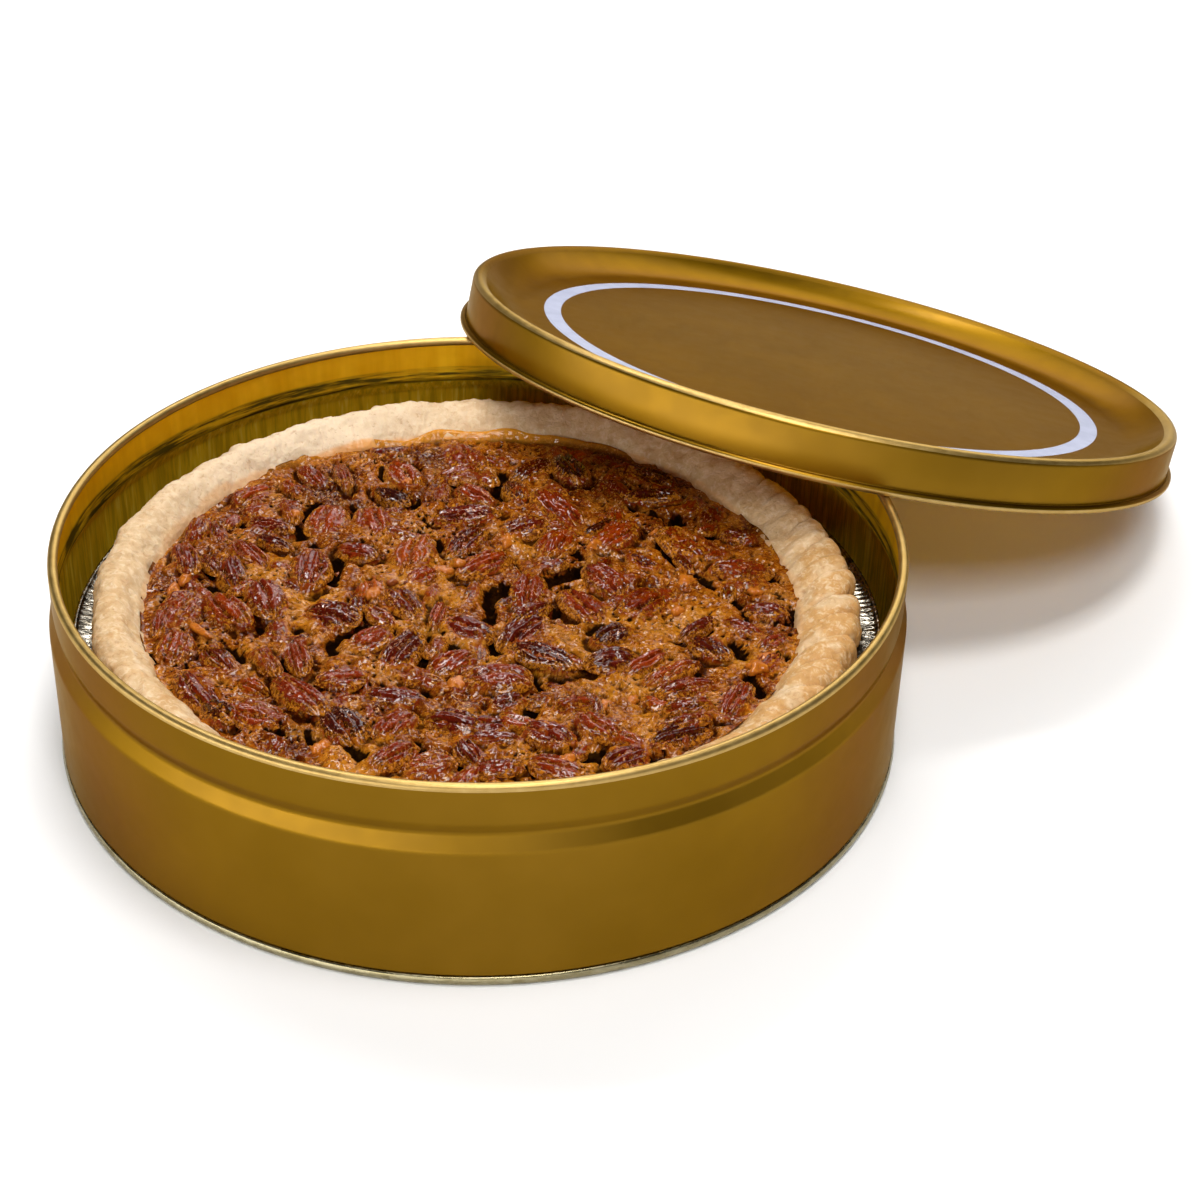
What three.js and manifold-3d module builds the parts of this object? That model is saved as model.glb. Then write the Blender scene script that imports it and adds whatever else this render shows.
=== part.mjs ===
// A pecan pie in its foil pan, standing in a round gold gift tin. The tin's slip-over lid leans on the
// rim, with its far edge on the table.
// Units are millimetres and +Z is up. The origin is the centre of the tin's underside.
import * as THREE from "three";
import { mergeVertices } from "three/addons/utils/BufferGeometryUtils.js";
import Module from "manifold-3d";

const wasm = await Module();
wasm.setup();

// ---- Driving dimensions ---------------------------------------------------------------------------
const FACE_GAP = 0.3; // clearance between pieces that touch
const SHEET = 0.8; // tinplate, with its lacquer and folds

const TIN_HEIGHT = 68.0;
const COLLAR_RADIUS = 131.5; // outside of the collar that the lid slips over
const WALL_RADIUS = 133.1; // outside of the wall below the collar, flush with the closed lid
const CURL_RADIUS = 1.5; // the rim's inward roll
const COLLAR_BOTTOM = 55.2;
const GROOVE_Z = 51.6; // deepest line of the lid's stop groove
const GROOVE_DEPTH = 0.9;
const FLARE_BOTTOM = 46.4; // the wall widens from the groove down to here

const SEAM_RADIUS = 133.7; // the double seam round the base
const SEAM_HEIGHT = 4.0;
const BASE_THICKNESS = 1.0;

const LID_HEIGHT = 18.1;
const LID_RADIUS = 133.0; // outside of the lid's skirt
const LID_BEAD = 1.3; // radius of the wire-like curl at the skirt's edge
const LID_BEAD_CENTRE = LID_RADIUS + 0.9;
const LID_RIDGE = 2.4; // radius of the ridge round the top
const LID_PANEL_DROP = 5.0; // the flat panel lies this far below the ridge
const LID_PANEL_RADIUS = 113;
const LID_TILT = THREE.MathUtils.degToRad(16.884);
const LID_HEADING = THREE.MathUtils.degToRad(49.975); // the lid slopes down towards this azimuth

const PAN_CENTRE = new THREE.Vector2(-0.6, -5.6); // the pan has slid towards the front of the tin
const PAN_RADIUS = 125.6; // out to the rolled edge
const PAN_RIM_Z = 40.6;
const PAN_MOUTH_RADIUS = 115.5;
const PAN_FOOT_RADIUS = 97;
const PAN_SHEET = 0.6;
const PAN_PLEATS = 36;
const PAN_PLEAT_DEPTH = 0.45;

const CRUST_OFFSET = new THREE.Vector2(-0.6, 1.6); // the crust's centre from the pan's
const CRUST_RADIUS = 118.6;
const CRUST_CREST_Z = 53.2;
const CRUST_LIFT = 1.8; // the crust stands this much higher at the back left, and lower opposite
const CRUST_LIFT_HEADING = THREE.MathUtils.degToRad(140);
const CRUST_FLOOR = 5; // thickness of the pastry under the filling
const CRIMPS = 60;
const CRIMP_DEPTH = 2.4;
const CRIMP_SLANT = THREE.MathUtils.degToRad(1.3); // how far round a crease turns from ring to ring

const FILLING_OFFSET = new THREE.Vector2(-2.6, 1.4); // the filling's centre from the pan's
const FILLING_RADIUS = 103;
const FILLING_Z = 44.2;
const FILLING_FOOT_RADIUS = 88;

const PECANS = 100;
const PECAN_LENGTH = [16, 25];

const TIN_SEGMENTS = 56;
const CUSTARD_SEGMENTS = 32;

// ---- Colours --------------------------------------------------------------------------------------
const finish = (color, roughness, metalness) =>
  new THREE.MeshStandardMaterial({ color, roughness, metalness });
const gold = finish(0xa37a22, 0.38, 0.85);
const seamMetal = finish(0x8c8266, 0.3, 1.0);
const foil = finish(0xc4c4c6, 0.22, 1.0);
const pastry = finish(0xdcbd92, 0.8, 0);
const custard = finish(0x8a4f1c, 0.35, 0);

// ---- Shared helpers -------------------------------------------------------------------------------
const UP = new THREE.Vector3(0, 0, 1);
const point = (radius, z) => new THREE.Vector2(radius, z);

// Points along an arc of a profile, from one angle to another in degrees.
function arc(centreR, centreZ, radius, from, to, steps) {
  return Array.from({ length: steps + 1 }, (_, i) => {
    const angle = THREE.MathUtils.degToRad(from + ((to - from) * i) / steps);
    return point(
      centreR + radius * Math.cos(angle),
      centreZ + radius * Math.sin(angle),
    );
  });
}

// A closed solid of revolution about +Z. The profile runs anticlockwise in the (radius, z) plane. Each
// vertex can be moved by shape(vertex, ring, column), where ring is its index in the profile and column
// its index round the axis.
function revolve(profile, segments, shape = () => {}) {
  const geometry = new THREE.LatheGeometry(profile, segments);
  geometry.deleteAttribute("normal");
  geometry.deleteAttribute("uv");
  geometry.rotateX(Math.PI / 2);
  const position = geometry.attributes.position;
  const vertex = new THREE.Vector3();
  for (let i = 0; i < position.count; i++) {
    const column = Math.floor(i / profile.length) % segments;
    vertex.fromBufferAttribute(position, i);
    shape(vertex, i % profile.length, column);
    position.setXYZ(i, vertex.x, vertex.y, vertex.z);
  }
  return mergeVertices(geometry, 1e-4);
}

// Slides a vertex outwards from the axis.
function pushOut(vertex, distance) {
  const radius = Math.hypot(vertex.x, vertex.y);
  const scale = radius > 0 ? (radius + distance) / radius : 1;
  vertex.x *= scale;
  vertex.y *= scale;
}

function closeLoop(profile) {
  return [...profile, profile[0].clone()];
}

function mesh(name, geometry, material) {
  const made = new THREE.Mesh(geometry, material);
  made.name = name;
  return made;
}

// A repeatable number from 0 to 1 for item i and property k.
function draw(i, k) {
  const wave = Math.sin(i * 12.9898 + k * 78.233) * 43758.5453;
  return wave - Math.floor(wave);
}

const between = ([low, high], share) => low + (high - low) * share;

// ---- Tin ------------------------------------------------------------------------------------------
// The body sheet: straight wall, flared shoulder, stop groove, collar and rolled rim.
function tinWall() {
  const foot = SEAM_HEIGHT + FACE_GAP;
  const groove = COLLAR_RADIUS - GROOVE_DEPTH;
  const profile = [
    point(WALL_RADIUS, foot),
    point(WALL_RADIUS, FLARE_BOTTOM),
    point(groove, GROOVE_Z),
    point(COLLAR_RADIUS, COLLAR_BOTTOM),
    ...arc(
      COLLAR_RADIUS - CURL_RADIUS,
      TIN_HEIGHT - CURL_RADIUS,
      CURL_RADIUS,
      0,
      300,
      6,
    ),
    point(COLLAR_RADIUS - SHEET, COLLAR_BOTTOM),
    point(groove - SHEET, GROOVE_Z),
    point(WALL_RADIUS - SHEET, FLARE_BOTTOM),
    point(WALL_RADIUS - SHEET, foot),
  ];
  return mesh("tin_wall", revolve(closeLoop(profile), TIN_SEGMENTS), gold);
}

// The base: a flat end with the double seam standing up round its edge.
function tinBase() {
  const chamfer = 0.7;
  const seamInner = 130.6;
  const profile = [
    point(0, 0),
    point(SEAM_RADIUS - chamfer, 0),
    point(SEAM_RADIUS, chamfer),
    point(SEAM_RADIUS, SEAM_HEIGHT - chamfer),
    point(SEAM_RADIUS - chamfer, SEAM_HEIGHT),
    point(seamInner + chamfer, SEAM_HEIGHT),
    point(seamInner, BASE_THICKNESS),
    point(0, BASE_THICKNESS),
  ];
  return mesh("tin_base", revolve(profile, TIN_SEGMENTS), seamMetal);
}

// ---- Lid ------------------------------------------------------------------------------------------
// The lid in its own frame: z = 0 is the plane that its bead stands on, and the panel faces +z.
function lidShell() {
  const panelZ = LID_HEIGHT - LID_PANEL_DROP;
  const ridgeR = LID_RADIUS - LID_RIDGE;
  const skirtInner = LID_RADIUS - SHEET;
  // The concave rise from the panel to the ridge, at a share of its width.
  const cove = (share, drop) =>
    point(
      THREE.MathUtils.lerp(LID_PANEL_RADIUS, ridgeR - 1.2, share),
      panelZ + (LID_PANEL_DROP - 0.4) * share * share - drop,
    );
  const profile = [
    point(0, panelZ - SHEET),
    cove(0, SHEET),
    cove(0.55, SHEET),
    point(ridgeR, LID_HEIGHT - SHEET),
    point(skirtInner, LID_HEIGHT - LID_RIDGE - 0.3),
    point(skirtInner, LID_BEAD),
    ...arc(LID_BEAD_CENTRE, LID_BEAD, LID_BEAD, -110, 100, 4),
    ...arc(ridgeR, LID_HEIGHT - LID_RIDGE, LID_RIDGE, 0, 90, 3),
    cove(1, 0),
    cove(0.6, 0),
    cove(0, 0),
    point(0, panelZ),
  ];
  return mesh("lid", revolve(profile, TIN_SEGMENTS), gold);
}

// Shortest distance from a point to a circle.
function distanceToCircle(from, centre, normal, radius) {
  const offset = from.clone().sub(centre);
  const height = offset.dot(normal);
  const inPlane = Math.sqrt(Math.max(offset.lengthSq() - height * height, 0));
  return Math.hypot(inPlane - radius, height);
}

// Where the lid lies: its bead touches the table at the low side and the tin's rolled rim at two points.
// Returns the centre of the bead's circle, found by sliding the lid inwards until it meets the rim.
function leaningLidCentre(normal) {
  const rimRadius = COLLAR_RADIUS - CURL_RADIUS;
  const contact = LID_BEAD + CURL_RADIUS + FACE_GAP;
  const height = LID_BEAD_CENTRE * Math.sin(LID_TILT) + LID_BEAD;
  const centreAt = (distance) =>
    new THREE.Vector3(
      distance * Math.cos(LID_HEADING),
      distance * Math.sin(LID_HEADING),
      height,
    );
  const clearance = (distance) => {
    const centre = centreAt(distance);
    const samples = 1440;
    let least = Infinity;
    for (let i = 0; i < samples; i++) {
      const azimuth = (i / samples) * 2 * Math.PI;
      const onRim = new THREE.Vector3(
        rimRadius * Math.cos(azimuth),
        rimRadius * Math.sin(azimuth),
        TIN_HEIGHT - CURL_RADIUS,
      );
      least = Math.min(
        least,
        distanceToCircle(onRim, centre, normal, LID_BEAD_CENTRE),
      );
    }
    return least;
  };
  // At the near distance the bead cuts the rim, and at the far one it is clear of it.
  let near = 1.35 * COLLAR_RADIUS;
  let far = 1.8 * COLLAR_RADIUS;
  for (let i = 0; i < 40; i++) {
    const middle = (near + far) / 2;
    if (clearance(middle) < contact) near = middle;
    else far = middle;
  }
  return centreAt(far);
}

function lid() {
  const normal = new THREE.Vector3(
    Math.sin(LID_TILT) * Math.cos(LID_HEADING),
    Math.sin(LID_TILT) * Math.sin(LID_HEADING),
    Math.cos(LID_TILT),
  );
  const leaning = new THREE.Group();
  leaning.quaternion.setFromUnitVectors(UP, normal);
  leaning.position
    .copy(leaningLidCentre(normal))
    .addScaledVector(normal, -LID_BEAD);
  leaning.add(lidShell());
  return leaning;
}

// ---- Foil pan -------------------------------------------------------------------------------------
// A tapered foil pan with a pleated wall and flange and a rolled edge.
function foilPan() {
  const foot = BASE_THICKNESS + FACE_GAP;
  const profile = [
    point(0, foot),
    point(PAN_FOOT_RADIUS, foot),
    point(PAN_MOUTH_RADIUS + PAN_SHEET, PAN_RIM_Z - 2.6),
    point(PAN_RADIUS - 1.4, PAN_RIM_Z - 1.0),
    point(PAN_RADIUS, PAN_RIM_Z - 1.2),
    point(PAN_RADIUS, PAN_RIM_Z),
    point(PAN_RADIUS - 1.4, PAN_RIM_Z + 0.2),
    point(PAN_MOUTH_RADIUS, PAN_RIM_Z - 1.6),
    point(PAN_FOOT_RADIUS - PAN_SHEET, foot + PAN_SHEET),
    point(0, foot + PAN_SHEET),
  ];
  const pleated = [0, 0, 0.6, 1, 0, 0, 1, 0.6, 0, 0]; // share of the pleats' depth at each ring
  const pleat = (vertex, ring, column) => {
    const side = column % 2 ? -1 : 1;
    vertex.z += side * PAN_PLEAT_DEPTH * pleated[ring];
  };
  return mesh("foil_pan", revolve(profile, 2 * PAN_PLEATS, pleat), foil);
}

// ---- Crust ----------------------------------------------------------------------------------------
// The pastry shell: a floor and tapered side inside the pan, and a crimped rim that lies on its flange.
function crust() {
  const foot = BASE_THICKNESS + 2 * FACE_GAP + PAN_SHEET;
  const profile = [
    point(0, foot),
    point(PAN_FOOT_RADIUS - PAN_SHEET - FACE_GAP, foot),
    point(PAN_MOUTH_RADIUS - 1.4, PAN_RIM_Z - 0.6),
    point(CRUST_RADIUS - 0.6, PAN_RIM_Z + 1.4),
    point(CRUST_RADIUS, CRUST_CREST_Z - 5),
    point(CRUST_RADIUS - 3.4, CRUST_CREST_Z - 0.6),
    point(CRUST_RADIUS - 7.2, CRUST_CREST_Z - 0.6),
    point(FILLING_RADIUS, FILLING_Z + 0.8),
    point(FILLING_FOOT_RADIUS, foot + CRUST_FLOOR),
    point(0, foot + CRUST_FLOOR),
  ];
  const crimped = [0, 0, 0, 0.5, 1, 0.8, 0.25, 0, 0, 0]; // share of the crimps' depth at each ring
  const firstRimRing = 3;
  const firstInsideRing = 7;
  // Each crimp is a lobe at an odd column and a crease, of its own depth, at the even column beside it.
  const crimp = (vertex, ring, column) => {
    const isCrease = column % 2 === 0;
    const cut = isCrease ? between([0.6, 1], draw(column, 9)) * crimped[ring] * CRIMP_DEPTH : 0;
    const uneven = 0.4 * CRIMP_SLANT * (draw(column, 10) - 0.5);
    pushOut(vertex, -cut);
    vertex.applyAxisAngle(UP, CRIMP_SLANT * (ring - firstRimRing) + uneven);
    if (ring > firstRimRing + 1) {
      const azimuth = Math.atan2(vertex.y, vertex.x);
      vertex.z += CRUST_LIFT * Math.cos(azimuth - CRUST_LIFT_HEADING) - 0.5 * cut;
    }
    vertex.x += CRUST_OFFSET.x;
    vertex.y += CRUST_OFFSET.y;
  };
  const shape = (vertex, ring, column) => {
    const onAxis = ring === profile.length - 1;
    if (ring >= firstRimRing && ring < firstInsideRing) {
      crimp(vertex, ring, column);
    } else if (ring >= firstInsideRing && !onAxis) {
      vertex.x += FILLING_OFFSET.x;
      vertex.y += FILLING_OFFSET.y;
    }
  };
  return mesh("crust", revolve(profile, 2 * CRIMPS, shape), pastry);
}

// ---- Filling and pecans ---------------------------------------------------------------------------
// The custard's height above its level: low swells, nothing at the edge.
function swell(x, y) {
  const inward = 1 - Math.hypot(x, y) / FILLING_RADIUS;
  const bumps =
    0.55 * Math.sin(x / 11 + 0.7) * Math.cos(y / 9) +
    0.4 * Math.sin((x - y) / 6.5);
  return THREE.MathUtils.smoothstep(inward, 0, 0.12) * (0.7 + bumps);
}

function custardCore() {
  const foot =
    BASE_THICKNESS + 3 * FACE_GAP + PAN_SHEET + CRUST_FLOOR;
  const topRings = 5;
  const profile = [
    point(0, foot),
    point(FILLING_FOOT_RADIUS - 2 * FACE_GAP, foot),
    point(FILLING_RADIUS - 2 * FACE_GAP, FILLING_Z),
  ];
  for (let ring = 1; ring < topRings; ring++)
    profile.push(point(FILLING_RADIUS * (1 - ring / topRings), FILLING_Z));
  profile.push(point(0, FILLING_Z));
  const firstTopRing = 3;
  const raise = (vertex, ring) => {
    if (ring >= firstTopRing) vertex.z += swell(vertex.x, vertex.y);
  };
  return revolve(profile, CUSTARD_SEGMENTS, raise);
}

// A pecan half with its ridged side up: an oval with two lobes and a groove along the middle.
function pecanHalf(length, width, height) {
  const geometry = new THREE.SphereGeometry(1, 8, 3);
  geometry.deleteAttribute("normal");
  geometry.deleteAttribute("uv");
  geometry.rotateZ(Math.PI / 2);
  const position = geometry.attributes.position;
  const grooveShare = 0.66;
  for (let i = 0; i < position.count; i++) {
    const y = position.getY(i);
    const z = position.getZ(i);
    const inGroove = z > 0 && Math.abs(y) < 0.2;
    position.setXYZ(
      i,
      (position.getX(i) * length) / 2,
      (y * width) / 2,
      z * height * (inGroove ? grooveShare : 1),
    );
  }
  return mergeVertices(geometry, 1e-4);
}

// Lays pecan i on a sunflower spiral, so that they spread evenly, with its own turn, tilt and size.
function placedPecan(i) {
  const goldenAngle = Math.PI * (3 - Math.sqrt(5));
  const length = between(PECAN_LENGTH, draw(i, 1));
  const reach = FILLING_RADIUS - 4 - 0.42 * length;
  const radius = reach * Math.sqrt((i + 0.5) / PECANS);
  const azimuth = i * goldenAngle + 0.08 * (draw(i, 2) - 0.5);
  const x = radius * Math.cos(azimuth);
  const y = radius * Math.sin(azimuth);
  const geometry = pecanHalf(
    length,
    length * between([0.46, 0.62], draw(i, 3)),
    between([3.2, 4.6], draw(i, 4)),
  );
  const tilt = new THREE.Euler(
    0.5 * (draw(i, 5) - 0.5),
    0.36 * (draw(i, 6) - 0.5),
    2 * Math.PI * draw(i, 7),
    "ZYX",
  );
  const lift = between([-1.0, 0.4], draw(i, 8));
  geometry.applyMatrix4(
    new THREE.Matrix4().compose(
      new THREE.Vector3(x, y, FILLING_Z + swell(x, y) + lift),
      new THREE.Quaternion().setFromEuler(tilt),
      new THREE.Vector3(1, 1, 1),
    ),
  );
  return geometry;
}

function toSolid(geometry) {
  return new wasm.Manifold(
    new wasm.Mesh({
      numProp: 3,
      vertProperties: new Float32Array(geometry.attributes.position.array),
      triVerts: new Uint32Array(geometry.index.array),
    }),
  );
}

function toGeometry(solid) {
  const made = solid.getMesh();
  const geometry = new THREE.BufferGeometry();
  geometry.setAttribute(
    "position",
    new THREE.BufferAttribute(new Float32Array(made.vertProperties), 3),
  );
  geometry.setIndex(new THREE.BufferAttribute(made.triVerts, 1));
  return geometry;
}

// The baked filling is one solid: the custard with the pecans that show fused into its top.
function filling() {
  let solid = toSolid(custardCore());
  for (let i = 0; i < PECANS; i++) solid = solid.add(toSolid(placedPecan(i)));
  const made = mesh("pecan_filling", toGeometry(solid), custard);
  made.position.set(FILLING_OFFSET.x, FILLING_OFFSET.y, 0);
  return made;
}

// ---- The whole ------------------------------------------------------------------------------------
const pie = new THREE.Group();
pie.position.set(PAN_CENTRE.x, PAN_CENTRE.y, 0);
pie.add(foilPan(), crust(), filling());

const pieInTin = new THREE.Group();
pieInTin.add(tinWall(), tinBase(), pie, lid());

export default pieInTin;
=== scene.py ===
"""A pecan pie in its foil pan, in a round gold gift tin whose lid leans on the rim.

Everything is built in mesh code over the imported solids, in the same frame: +Z up, the origin at the
centre of the tin's underside. Sizes are in millimetres, and make_piece() turns them to metres.
"""

import math

import bpy
import numpy as np
from mathutils import Matrix, Vector


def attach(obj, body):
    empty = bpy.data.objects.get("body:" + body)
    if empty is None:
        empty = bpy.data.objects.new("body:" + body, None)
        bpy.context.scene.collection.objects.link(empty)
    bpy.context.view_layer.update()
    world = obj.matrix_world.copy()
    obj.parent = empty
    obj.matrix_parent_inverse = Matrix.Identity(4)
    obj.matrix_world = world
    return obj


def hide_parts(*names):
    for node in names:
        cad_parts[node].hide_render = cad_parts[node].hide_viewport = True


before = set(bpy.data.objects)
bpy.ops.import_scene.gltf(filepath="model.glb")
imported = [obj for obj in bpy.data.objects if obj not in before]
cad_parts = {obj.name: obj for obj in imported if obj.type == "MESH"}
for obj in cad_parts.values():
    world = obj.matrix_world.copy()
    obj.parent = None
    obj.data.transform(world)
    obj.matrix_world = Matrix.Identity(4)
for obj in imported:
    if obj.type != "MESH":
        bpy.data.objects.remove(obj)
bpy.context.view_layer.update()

MM = 0.001
TAU = 2 * math.pi

# ---- Sizes, in millimetres, as in the solids ---------------------------------------------------------
TIN_HEIGHT = 68.0
COLLAR_RADIUS = 131.5
WALL_RADIUS = 133.1
CURL_RADIUS = 1.5
SHEET = 0.8
COLLAR_BOTTOM = 55.2
COLLAR_LEAN = 0.35
GROOVE_Z = 51.6
GROOVE_DEPTH = 0.9
GROOVE_TOP_FADE = (56.6, 55.2)  # heights between which the dark band inside the groove sets in
GROOVE_FOOT_FADE = (50.0, 51.2)
FLARE_BOTTOM = 46.4
WALL_FOOT = 3.4
SEAM_RADIUS = 133.7
SEAM_HEIGHT = 3.1
SEAM_INNER = 130.6
BASE_THICKNESS = 1.0
WELD_AZIMUTH = 32.9  # degrees; the side seam shows inside the wall
WELD_SPREAD = 0.45  # degrees
WELD_HEIGHT = 0.35
WALL_WAVE = 0.05

LID_HEIGHT = 18.0
LID_RADIUS = 132.8
LID_BEAD = 1.3
LID_BEAD_CENTRE = 133.5
LID_RIDGE = 2.4
LID_PANEL_DROP = 8.2
LID_PANEL_RADIUS = 113.0
LID_TILT = 16.884  # degrees
LID_HEADING = 49.975
LID_REACH = 193.5  # from the tin's axis to the centre of the lid's bead
RING_RADII = (98.7, 105.0)  # the printed ring on the lid's panel

PAN_CENTRE = (-0.6, -5.6)
PAN_RADIUS = 125.6
PAN_ROLL = 0.75
PAN_RIM_Z = 40.6
PAN_MOUTH_RADIUS = 115.5
PAN_FOOT_RADIUS = 97.0
PAN_FOOT_Z = 1.3
PAN_CRIMPS = 300
PAN_ZIGZAG = (0.0, 0.75, 1.0, 0.3, -0.75, -1.0)  # one crimp's height, column by column
PAN_CRIMP_HEIGHT = 0.8
PAN_WAVE = 0.5

CRUST_CENTRE = (-1.2, -4.0)
CRUST_LIFT = 0.6
CRUST_LIFT_HEADING = math.radians(140)
CRUST_CRIMPS = 68
BACK_NICKS = 84
CRIMP_NUMBERS = 997  # more than there are crimps, so that each draws its own numbers
CREASE_WIDTH = 0.075  # in crimps, as are the next two
NOTCH_WIDTH = 0.16
NICK_WIDTH = 0.13
NOTCH_DEPTH = 1.5
NICK_DEPTH = 1.1
# The rim's section, from the flange over its top and down to the filling.
RIM_SECTION = [
    (114.0, 39.4), (115.8, 41.2), (117.7, 42.6), (118.5, 45.0), (118.3, 48.0), (116.9, 50.7),
    (114.4, 52.2), (111.4, 52.5), (108.4, 51.3), (105.4, 48.9), (103.0, 46.3), (100.8, 43.0),
]

FILLING_CENTRE = (-3.2, -4.2)
FILLING_RADIUS = 102.6
FILLING_Z = 44.2
FILLING_FOOT_Z = 7.5
FILLING_FOOT_RADIUS = 87.4
FILLING_MARGIN = 1.4  # no half comes nearer to the edge
CRACK_DEPTH = 3.6
GASH_DEPTH = 2.4
PIT_DEPTH = 0.7
COMB_DEPTH = 1.2
TUCK = 0.8  # how far the skin's last ring lies under the crust's surface
# Where the filling's edge departs from its circle: heading, spread in degrees, and how far in mm.
EDGE_BULGES = [(138, 24, 0.8), (186, 18, -1.0), (97, 20, -2.2), (18, 17, -1.4), (322, 34, 1.2)]

TIN_COLUMNS = 384
PAN_COLUMNS = len(PAN_ZIGZAG) * PAN_CRIMPS
CRUST_COLUMNS = 1200
CORE_GRID = 300  # quads along each side of the filling's top
HALF_GRID = 26  # quads along each side of a pecan half's top
CHIP_GRID = 12


# ---- Repeatable noise --------------------------------------------------------------------------------
def lattice(ix, iy, iz, seed):
    """A number from 0 to 1 for each whole-numbered point."""
    n = np.uint32((seed * 2654435761 + 97) & 0xFFFFFFFF)
    for index, prime in ((ix, 73856093), (iy, 19349663), (iz, 83492791)):
        n = n ^ np.asarray(index).astype(np.uint32) * np.uint32(prime)
    for shift, factor in ((15, 2246822519), (13, 3266489917)):
        n = (n ^ (n >> np.uint32(shift))) * np.uint32(factor)
    n = n ^ (n >> np.uint32(16))
    return n.astype(np.float64) / 4294967295.0


def noise(points, size, seed):
    """Smooth noise from -1 to 1 with features of about this size."""
    p = np.asarray(points, float) / size + 1000.0
    cell = np.floor(p).astype(np.int64)
    f = p - cell
    f = f * f * f * (f * (f * 6 - 15) + 10)
    total = np.zeros(len(p))
    for corner in np.ndindex(2, 2, 2):
        wx, wy, wz = (f[:, k] if corner[k] else 1 - f[:, k] for k in range(3))
        total += wx * wy * wz * lattice(*(cell + corner).T, seed)
    return 2 * total - 1


def fbm(points, size, octaves, seed, gain=0.5):
    """Noise with finer and fainter octaves added to it."""
    return sum(gain**k * noise(points, size / 2**k, seed + 17 * k) for k in range(octaves))


def pits(x, y, size, seed):
    """Distance to the nearest of scattered points, in cells, and that point's own number from 0 to 1."""
    gx, gy = x / size + 500.0, y / size + 500.0
    nearest = np.full(len(gx), 9.0)
    own = np.zeros(len(gx))
    for dx, dy in np.ndindex(3, 3):
        cx, cy = np.floor(gx).astype(np.int64) + dx - 1, np.floor(gy).astype(np.int64) + dy - 1
        d = np.hypot(cx + lattice(cx, cy, 0, seed) - gx, cy + lattice(cx, cy, 0, seed + 1) - gy)
        own = np.where(d < nearest, lattice(cx, cy, 0, seed + 2), own)
        nearest = np.minimum(nearest, d)
    return nearest, own


# ---- Curves and points -------------------------------------------------------------------------------
def smoothstep(low, high, value):
    t = np.clip((value - low) / (high - low), 0.0, 1.0)
    return t * t * (3 - 2 * t)


def smooth_max(a, b, reach):
    h = np.clip(0.5 + 0.5 * (a - b) / reach, 0.0, 1.0)
    return b + (a - b) * h + reach * h * (1 - h)


def peak(value, width):
    """1 where the value is 0, and falling away to both sides."""
    return np.exp(-((value / width) ** 2))


def lobe(angle, heading, spread):
    """1 along a heading in degrees, and falling away to both sides."""
    return peak((np.degrees(angle) - heading + 180) % 360 - 180, spread)


def edge_bulge(angle):
    return sum(far * lobe(angle, heading, spread) for heading, spread, far in EDGE_BULGES)


def stack(x, y, z=0.0):
    """Points from their coordinates, of which some may be one number for all."""
    return np.column_stack(np.broadcast_arrays(x, y, z))


def around(angle, z=0.0):
    """Points on the unit circle, at which noise meets itself again after one turn."""
    return stack(np.cos(angle), np.sin(angle), z)


def arc(centre_r, centre_z, radius, start, end, steps):
    angles = np.radians(np.linspace(start, end, steps + 1))
    return [(centre_r + radius * math.cos(a), centre_z + radius * math.sin(a)) for a in angles]


def fillet(points, radius, steps=4):
    """The polyline with its inner corners rounded."""
    points = [np.array(p, float) for p in points]
    out = [points[0]]
    for before, corner, after in zip(points, points[1:], points[2:]):
        to_before, to_after = before - corner, after - corner
        cut = min(radius, 0.45 * np.linalg.norm(to_before), 0.45 * np.linalg.norm(to_after))
        start = corner + to_before / np.linalg.norm(to_before) * cut
        end = corner + to_after / np.linalg.norm(to_after) * cut
        for t in np.linspace(0, 1, steps + 1):
            out.append((1 - t) ** 2 * start + 2 * t * (1 - t) * corner + t * t * end)
    out.append(points[-1])
    return [tuple(p) for p in out]


def smooth_curve(points, per_span):
    """Points along a Catmull-Rom curve through the given ones."""
    p = np.asarray(points, float)
    p = np.vstack([2 * p[0] - p[1], p, 2 * p[-1] - p[-2]])
    out = []
    for a, b, c, d in zip(p, p[1:], p[2:], p[3:]):
        square, cube = 2 * a - 5 * b + 4 * c - d, 3 * b - a - 3 * c + d
        for t in np.arange(per_span) / per_span:
            out.append(0.5 * (2 * b + (c - a) * t + square * t**2 + cube * t**3))
    out.append(p[-2])
    return np.array(out)


# ---- Mesh helpers ------------------------------------------------------------------------------------
def make_piece(name, verts, faces, materials, face_material=None, attributes=None):
    """A smooth-shaded mesh object from millimetre points and a list of (n, 3) or (n, 4) index arrays."""
    faces = [np.asarray(f) for f in faces]
    loops = np.concatenate([f.ravel() for f in faces])
    counts = np.concatenate([np.full(len(f), f.shape[1]) for f in faces])
    mesh = bpy.data.meshes.new(name)
    mesh.vertices.add(len(verts))
    mesh.vertices.foreach_set("co", (np.asarray(verts, float) * MM).astype(np.float32).ravel())
    mesh.loops.add(len(loops))
    mesh.loops.foreach_set("vertex_index", loops.astype(np.int32))
    mesh.polygons.add(len(counts))
    mesh.polygons.foreach_set("loop_start", (np.cumsum(counts) - counts).astype(np.int32))
    mesh.update(calc_edges=True)
    mesh.validate()
    mesh.polygons.foreach_set("use_smooth", np.ones(len(mesh.polygons), bool))
    for material in materials:
        mesh.materials.append(material)
    if face_material is not None:
        mesh.polygons.foreach_set("material_index", face_material.astype(np.int32))
    for key, values in (attributes or {}).items():
        mesh.attributes.new(key, "FLOAT", "POINT").data.foreach_set("value", values.astype(np.float32))
    mesh.update()
    piece = bpy.data.objects.new(name, mesh)
    bpy.context.scene.collection.objects.link(piece)
    return piece


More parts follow.
